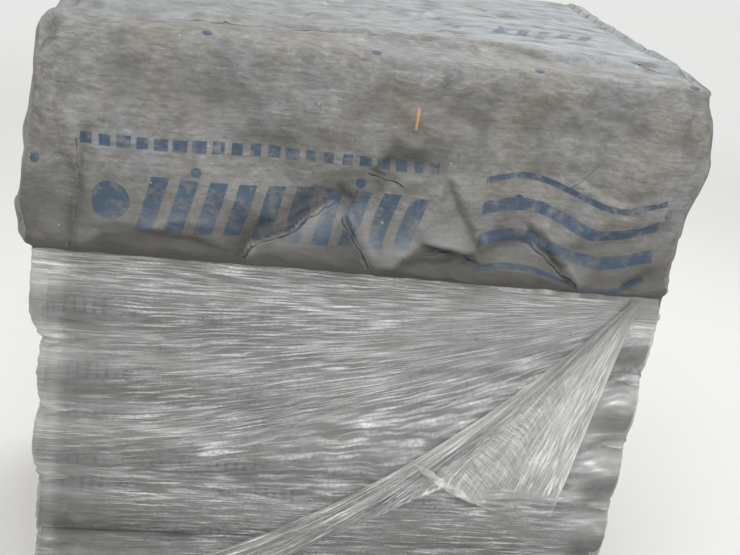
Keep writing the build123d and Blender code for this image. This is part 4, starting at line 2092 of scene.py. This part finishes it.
@dataclass
class FilmTail:
    """The film's loose end: a pleated fan from the top right corner that narrows to a band."""

    load: Load = LOAD
    root_inset: float = 0.044
    root_drop: float = 0.018
    root_width: float = 0.02
    threads: int = 230
    rows: int = 170
    clear: float = 0.0006
    # The corners of the layer that shows below the hem's rope, by X and Z
    under_fold: dict[str, Point] = field(default_factory=lambda: {
        "hem_start": (0.205, 0.484),
        "hem_stop": (0.315, 0.428),
        "foot_start": (-0.23, 0.2035),
        "foot_stop": (0.14, 0.2035),
    })
    # Each thread's share, where it passes on its way, and where it ends, by X and Z
    courses: tuple[tuple[float, Point, Point], ...] = (
        (0.0, (0.09, 0.36), (-0.458, 0.2035)),
        (0.14, (0.15, 0.405), (-0.207, 0.2035)),
        (0.22, (0.205, 0.47), (-0.076, 0.284)),
        (0.28, (0.262, 0.53), (0.079, 0.3785)),
        (0.34, (0.325, 0.62), (0.228, 0.474)),
        (0.55, (0.392, 0.69), (0.315, 0.428)),
        (0.72, (0.436, 0.68), (0.365, 0.416)),
        (0.85, (0.48, 0.66), (0.415, 0.411)),
        (1.0, (0.514, 0.64), (0.476, 0.409)),
    )
    rope: tuple[Point, ...] = (
        (0.15, 0.524),
        (0.19, 0.498),
        (0.228, 0.473),
        (0.272, 0.449),
        (0.315, 0.427),
        (0.365, 0.414),
        (0.42, 0.409),
    )

    def _read(self, part: int, share: Array) -> Array:
        """Reads the courses' passing points or ends at each thread's share.

        Args:
            part: Which of a course's two points.
            share: Each thread's share.

        Returns:
            The points.
        """
        known = [course[0] for course in self.courses]
        ways = [[course[part][k] for course in self.courses] for k in (0, 1)]
        return np.stack([np.interp(share, known, way) for way in ways], 1)

    def build(self, film: Material) -> list[Piece]:
        """Makes the fan in place of its CAD node, with the rope that its hem is rolled into.

        Args:
            film: The film's material.

        Returns:
            The fan, its rope and the layer below.
        """
        a = np.linspace(0, 1, self.threads)
        t = np.linspace(0, 1, self.rows)[:, None]
        hem, guide = self._read(2, a), self._read(1, a)
        hem[:, 1] += 0.004 * Drift(65)(a * 30, a * 0 + 0.5) * ease(0.34, 0.5, a)
        edge = self.load.half_length - self.root_inset
        root = np.stack([
            edge - self.root_width * (1 - a),
            np.full_like(a, self.load.film_top - self.root_drop),
        ], 1)
        s = t[..., None]
        path = (1 - s) ** 2 * root + 2 * s * (1 - s) * guide + s**2 * hem
        room = np.clip(np.linalg.norm(np.gradient(path, axis=1), axis=-1) / 0.0018, 0.08, 1.2)
        share, down = a[None, :] + 0 * t, t + 0 * a[None, :]
        pleat = (1 - np.abs(Drift(61)(share * 17, down * 1.3)) * 1.6) * 0.0042
        fine = (1 - np.abs(Drift(62)(share * 52, down * 2.6)) * 1.6) * 0.0018
        across = ease(0.1, 0.36, share) * ease(0.92, 0.5, share) * ease(0.2, 0.6, down)
        ripple = np.abs(Drift(63)(down * 34 - share * 16, share * 4)) * 0.0036 * across
        bunch = 0.006 * ease(0.16, 0.0, down)
        rolled = 0.003 * ease(0.97, 1.0, down) * ease(0.3, 0.36, share)
        front = -self.load.half_depth - self.load.seat_gap - 0.0033 - self.clear
        y = front - (np.maximum(pleat, 0) + np.maximum(fine, 0) + ripple) * room - bunch - rolled
        points = np.stack([path[..., 0], y, path[..., 1]], -1).reshape(-1, 3)
        faces = strips(self.rows, self.threads, False)
        uv = np.stack(np.broadcast_arrays(0.8 * t, a[None, :] * 0.42), -1).reshape(-1, 2)
        fan = make_piece("film_fan", points, faces, uv)
        glare = 0.22 * ease(0.62, 0.78, share) * ease(0.12, 0.3, down) * ease(0.95, 0.7, down)
        thin = -0.06 * ease(0.34, 0.24, share) * ease(0.3, 0.75, down)
        thin -= 0.36 * ease(0.84, 1.0, down) * ease(0.5, 0.62, share)
        edges = 0.2 * ease(0.955, 0.995, share) + 0.15 * ease(0.4, 0.1, down)
        paint(fan, haze=glare + thin + edges + 0.1 * Drift(64)(share * 8, down * 5))
        paint(fan, level=0.42 * share)
        paint(fan, cross=0.62 * across * ease(0.3, 0.4, share))
        # Painted shade over the lower part of the band
        paint(fan, dim=0.64 * ease(0.38, 0.24, share) * ease(0.3, 0.65, down))
        paint(fan, calm=0.9 * ease(0.84, 0.96, down) * ease(0.42, 0.58, share))
        fan.data.materials.append(film)
        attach(fan, "root")
        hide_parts("film_tail")
        others = [self._rope(film), self._under_fold(film)]
        return [fan, *others]

    def _under_fold(self, film: Material) -> Piece:
        """The layer of film that shows between the band and the fan's hem.

        Args:
            film: The film's material.

        Returns:
            The layer.
        """
        across, down = np.meshgrid(np.linspace(0, 1, 48), np.linspace(0, 1, 60))
        corners = {name: np.array(place) for name, place in self.under_fold.items()}
        share, fall = across[..., None], down[..., None]
        upper = corners["hem_start"] * (1 - share) + corners["hem_stop"] * share
        lower = corners["foot_start"] * (1 - share) + corners["foot_stop"] * share
        place = upper * (1 - fall) + lower * fall
        free = ease(0.0, 0.25, across) * ease(0.0, 0.12, down)
        pleat = np.abs(Drift(66)(across * 7 + down * 1.5, down * 2.2)) * 0.0024 * free
        y = -self.load.half_depth - self.load.seat_gap - 0.0033 - self.clear * 0.5 - pleat
        faces = strips(60, 48, False)
        uv = np.stack([0.4 * down, 0.2 * across], -1).reshape(-1, 2)
        points = np.stack([place[..., 0], y, place[..., 1]], -1).reshape(-1, 3)
        fold = make_piece("film_under_fold", points, faces, uv)
        paint(fold, haze=-0.44 + 0.14 * Drift(67)(across * 3, down * 4) + 0.12 * ease(0.93, 1.0, across))
        paint(fold, level=0.2 * across)
        # Painted shade over the whole layer
        paint(fold, dim=0.72 + 0.2 * Drift(68)(across * 3, down * 4))
        paint(fold, calm=np.full_like(across, 0.55))
        fold.data.materials.append(film)
        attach(fold, "root")
        return fold

    def _rope(self, film: Material) -> Piece:
        """The rolled hem, as a twisted strand along the fan's lower edge.

        Args:
            film: The film's material.

        Returns:
            The rope.
        """
        path = along_curve(np.array(self.rope), np.linspace(0, 1, 90))
        direction = np.gradient(path, axis=0)
        direction /= np.linalg.norm(direction, axis=1, keepdims=True)
        share = np.linspace(0, 1, len(path))
        radius = 0.0085 * ease(0, 0.16, share) * (0.05 + 0.95 * ease(0.72, 0.4, share)) + 0.0004
        turn = 2 * np.pi * np.arange(14) / 14
        twist = share[:, None] * 40
        lobes = 1 + 0.22 * np.cos(3 * turn[None, :] + twist) + 0.1 * np.cos(5 * turn[None, :] - 1.7 * twist)
        reach = radius[:, None] * lobes
        side = np.stack([-direction[:, 1], direction[:, 0]], 1)
        x = path[:, :1] + side[:, :1] * reach * np.cos(turn)
        z = path[:, 1:] + side[:, 1:] * reach * np.cos(turn)
        y = -self.load.half_depth - 0.009 - 0.45 * reach * np.sin(turn)
        faces = np.vstack([strips(len(path), 14, True), self._ends_of_rope(len(path), 14)])
        uv = np.stack(np.broadcast_arrays(share[:, None] * 0.4, turn[None, :] * 0.03), -1).reshape(-1, 2)
        rope = make_piece("film_hem_rope", np.stack([x, y, z], -1).reshape(-1, 3), faces, uv)
        paint(rope, haze=np.repeat(-0.02 - 0.4 * ease(0.42, 0.72, share), 14))
        rope.data.materials.append(film)
        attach(rope, "root")
        return rope

    @staticmethod
    def _ends_of_rope(rings: int, sides: int) -> Array:
        """Quads that close the two ends of a tube with an even number of sides.

        Args:
            rings: How many rings it has.
            sides: How many sides it has.

        Returns:
            The quads.
        """
        low, high = np.arange(sides // 2 - 1), sides - 1 - np.arange(sides // 2 - 1)
        near = np.stack([low, low + 1, high - 1, high], 1)
        return np.vstack([near, near[:, ::-1] + (rings - 1) * sides])


@dataclass
class Pallet:
    """The pallet's own CAD boards in sawn wood, with their nails."""

    nodes: list[str]
    nail_head: float = 0.0034
    nails_each: int = 3

    def _named(self, *starts: str) -> list[str]:
        """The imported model's nodes whose names start in one of these ways."""
        return [name for start in starts for name in sorted(self.nodes) if name.startswith(start)]

    def dress(self, boards: Material, beams: Material) -> None:
        """Gives each CAD board and stringer its wood.

        Args:
            boards: The boards' wood.
            beams: The stringers' wood.
        """
        for name in self._named("deck_board", "base_board", "stringer"):
            finish = beams if name.startswith("stringer") else boards
            piece = bpy.data.objects[name]
            piece.data.materials.clear()
            piece.data.materials.append(finish)

    def _nail_tree(self) -> Pattern:
        """The tree that sets a nail head on each point.

        Returns:
            The tree.
        """
        sockets = {"Radius": "Float", "Height": "Float", "Finish": "Material"}
        tree = Pattern("nail_heads", sockets)
        given = tree.given
        head = tree.node(
            "GeometryNodeMeshCylinder",
            {"fill_type": "NGON"},
            {"Vertices": 10, "Radius": given["Radius"], "Depth": given["Height"]},
        ).outputs[0]
        inputs = {"Points": given["Geometry"], "Instance": head}
        set_on = tree.node("GeometryNodeInstanceOnPoints", None, inputs)
        tree.end(set_on.outputs[0], given["Finish"])
        return tree

    def nails(self, steel: Material) -> Piece:
        """Makes the nail heads, in one piece.

        Args:
            steel: The nails' material.

        Returns:
            The nail heads.
        """
        draw = np.random.default_rng(71)
        spots = []
        for name in self._named("deck_board", "base_board"):
            low, high = (np.array(c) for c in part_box(name))
            face = high[2] if name.startswith("deck") else low[2] + 0.0008
            lift = 0.0003 if name.startswith("deck") else 0.0
            for beam in self._named("stringer"):
                beam_low, beam_high = (np.array(c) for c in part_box(beam))
                y = (beam_low[1] + beam_high[1]) / 2
                for share in np.linspace(0.2, 0.8, self.nails_each):
                    x = low[0] + share * (high[0] - low[0])
                    spots.append((x + draw.normal(0, 0.003), y + draw.normal(0, 0.005), face - 0.0003 + lift))
        base = make_piece("nail_spots", np.array(spots), np.zeros((0, 4), int))
        values = {"Radius": self.nail_head, "Height": 0.0008, "Finish": steel}
        piece = self._nail_tree().run("pallet_nails", base, values)
        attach(piece, "root")
        return piece


@dataclass(frozen=True)
class Viewpoint:
    """Where the photograph was taken from, as fitted to the load's edges."""

    position: tuple[float, float, float] = (-0.3674, -2.6322, 1.7825)
    yaw: float = 9.764
    pitch: float = 21.207
    roll: float = 8.245
    lens: float = 58.38

    def place(self) -> Piece:
        """Makes the camera.

        Returns:
            The camera.
        """
        yaw, pitch, roll = (math.radians(a) for a in (self.yaw, self.pitch, self.roll))
        ahead = Vector((math.sin(yaw) * math.cos(pitch), math.cos(yaw) * math.cos(pitch), -math.sin(pitch)))
        level = Vector((math.cos(yaw), -math.sin(yaw), 0))
        above = level.cross(ahead)
        right = math.cos(roll) * level + math.sin(roll) * above
        up = math.cos(roll) * above - math.sin(roll) * level
        data = bpy.data.cameras.new("camera")
        data.sensor_width = 36
        data.lens = self.lens
        data.clip_start, data.clip_end = 0.05, 200
        camera = bpy.data.objects.new("camera", data)
        turned = Matrix((right, up, -ahead)).transposed().to_4x4()
        camera.matrix_world = Matrix.Translation(self.position) @ turned
        bpy.context.scene.collection.objects.link(camera)
        bpy.context.scene.camera = camera
        return camera


@dataclass(frozen=True)
class Studio:
    """A pale floor that runs out into a pale backdrop, a soft sky and two wide lamps."""

    floor_colour: Colour = (0.72, 0.715, 0.7)
    far_colour: Colour = (0.8, 0.8, 0.79)
    floor_half: float = 60.0
    fade_start: float = 2.2
    fade_end: float = 6.5
    horizon: float = 0.26
    zenith: float = 0.88
    sky_rise: tuple[float, float] = (0.0, 0.95)

    def build(self) -> None:
        """Makes the floor, the lamps and the sky."""
        half = self.floor_half
        corners = np.array([(-half, -half, 0), (half, -half, 0), (half, half, 0), (-half, half, 0)], float)
        floor = make_piece("floor", corners, np.array([[0, 1, 2, 3]]), smooth=False)
        floor.data.materials.append(self._floor_paint())
        self._lamp("key_lamp", (-1.4, -2.0, 4.2), 3.2, 125)
        self._lamp("back_lamp", (1.6, 2.2, 4.0), 3.0, 70)
        self._lamp("side_lamp", (2.0, -2.8, 2.6), 1.2, 46)
        self._sky()
        bpy.context.scene.view_settings.view_transform = "Standard"

    def _floor_paint(self) -> Material:
        """Pale paint near the load, which keeps its shadow, and the backdrop's own colour far from it.

        Returns:
            The paint.
        """
        graph = Graph.of_material("floor_paint")
        x, y, _ = graph.place()
        seen = self._seen(graph)
        far = (x**2 + y**2).root().step(self.fade_start, self.fade_end) * seen
        paint_inputs = {"Base Color": (*self.floor_colour, 1), "Roughness": 0.9}
        near = graph.node("ShaderNodeBsdfPrincipled", None, paint_inputs).outputs[0]
        glow = graph.node("ShaderNodeEmission", None, {"Color": (*self.far_colour, 1)}).outputs[0]
        mixed = graph.node("ShaderNodeMixShader", None, {0: far, 1: near, 2: glow}).outputs[0]
        graph.node("ShaderNodeOutputMaterial", None, {"Surface": mixed})
        return graph.owner

    def _sky(self) -> None:
        """A soft sky, brighter overhead, which the camera sees in the backdrop's colour."""
        world = bpy.data.worlds.new("pale_sky")
        bpy.context.scene.world = world
        graph = Graph(world)
        upward = graph.split(graph.node("ShaderNodeTexCoord").outputs["Generated"])[2]
        strength = upward.step(*self.sky_rise) * (self.zenith - self.horizon) + self.horizon
        white, far = (1, 1, 1, 1), (*self.far_colour, 1)
        light = graph.node("ShaderNodeBackground", None, {"Color": white, "Strength": strength}).outputs[0]
        seen = graph.node("ShaderNodeBackground", None, {"Color": far}).outputs[0]
        mixed = graph.node("ShaderNodeMixShader", None, {0: self._seen(graph), 1: light, 2: seen}).outputs[0]
        graph.node("ShaderNodeOutputWorld", None, {"Surface": mixed})

    @staticmethod
    def _seen(graph: Graph) -> Field:
        """1 for rays from the camera, and for those that glossy or clear surfaces send on.

        Args:
            graph: The nodes.

        Returns:
            The share, 0 or 1.
        """
        rays = graph.node("ShaderNodeLightPath").outputs
        seen = Field(graph, rays["Is Camera Ray"])
        for name in ("Is Glossy Ray", "Is Transmission Ray"):
            seen = seen.most(Field(graph, rays[name]))
        return seen

    @staticmethod
    def _lamp(name: str, place: tuple[float, float, float], size: float, power: float) -> None:
        """Hangs a square lamp that looks at the load.

        Args:
            name: Its name.
            place: Where it hangs.
            size: Its width.
            power: Its power, in watts.
        """
        data = bpy.data.lights.new(name, "AREA")
        data.size, data.energy = size, power
        lamp = bpy.data.objects.new(name, data)
        aim = Vector((0, 0, 0.8)) - Vector(place)
        lamp.matrix_world = Matrix.Translation(place) @ aim.to_track_quat("-Z", "Y").to_matrix().to_4x4()
        bpy.context.scene.collection.objects.link(lamp)


def main() -> None:
    """Builds the load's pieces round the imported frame."""
    logging.basicConfig(level=logging.INFO, format="%(message)s")
    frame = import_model()
    Viewpoint().place()
    Studio().build()
    cloth = WovenCloth("hood_cloth", Design.BANNER, folds=HoodSheet().sharp_folds()).build()
    roll_cloth = WovenCloth(
        "roll_cloth",
        Design.LINES,
        cool=(0.15, 0.156, 0.16),
        warm=(0.16, 0.152, 0.136),
        ink_share=0.78,
        soft=0.0035,
    ).build()
    rolls = RollStack().build(roll_cloth, CoreBoard().build())
    hood = HoodSheet().build(cloth)
    film = StretchFilm().build(WrapFilm("wrap_film").build())
    tail_film = WrapFilm(
        "tail_film",
        haze=0.39,
        bright_share=0.52,
        thread=0.0034,
        waver=0.005,
        relief=0.95,
        crossed=True,
        slant=0.75,
        colour=(0.49, 0.49, 0.475),
        bright=(0.84, 0.84, 0.83),
    )
    tail = FilmTail().build(tail_film.build())
    pallet = Pallet(list(frame["nodes"]))
    pallet.dress(SawnWood("board_wood", False).build(), SawnWood("beam_wood", True).build())
    nails = pallet.nails(NailSteel().build())
    for piece in (*rolls, hood, film, *tail, nails):
        LOG.info("%s: %d faces", piece.name, len(piece.data.polygons))


if __name__ == "__main__":
    main()
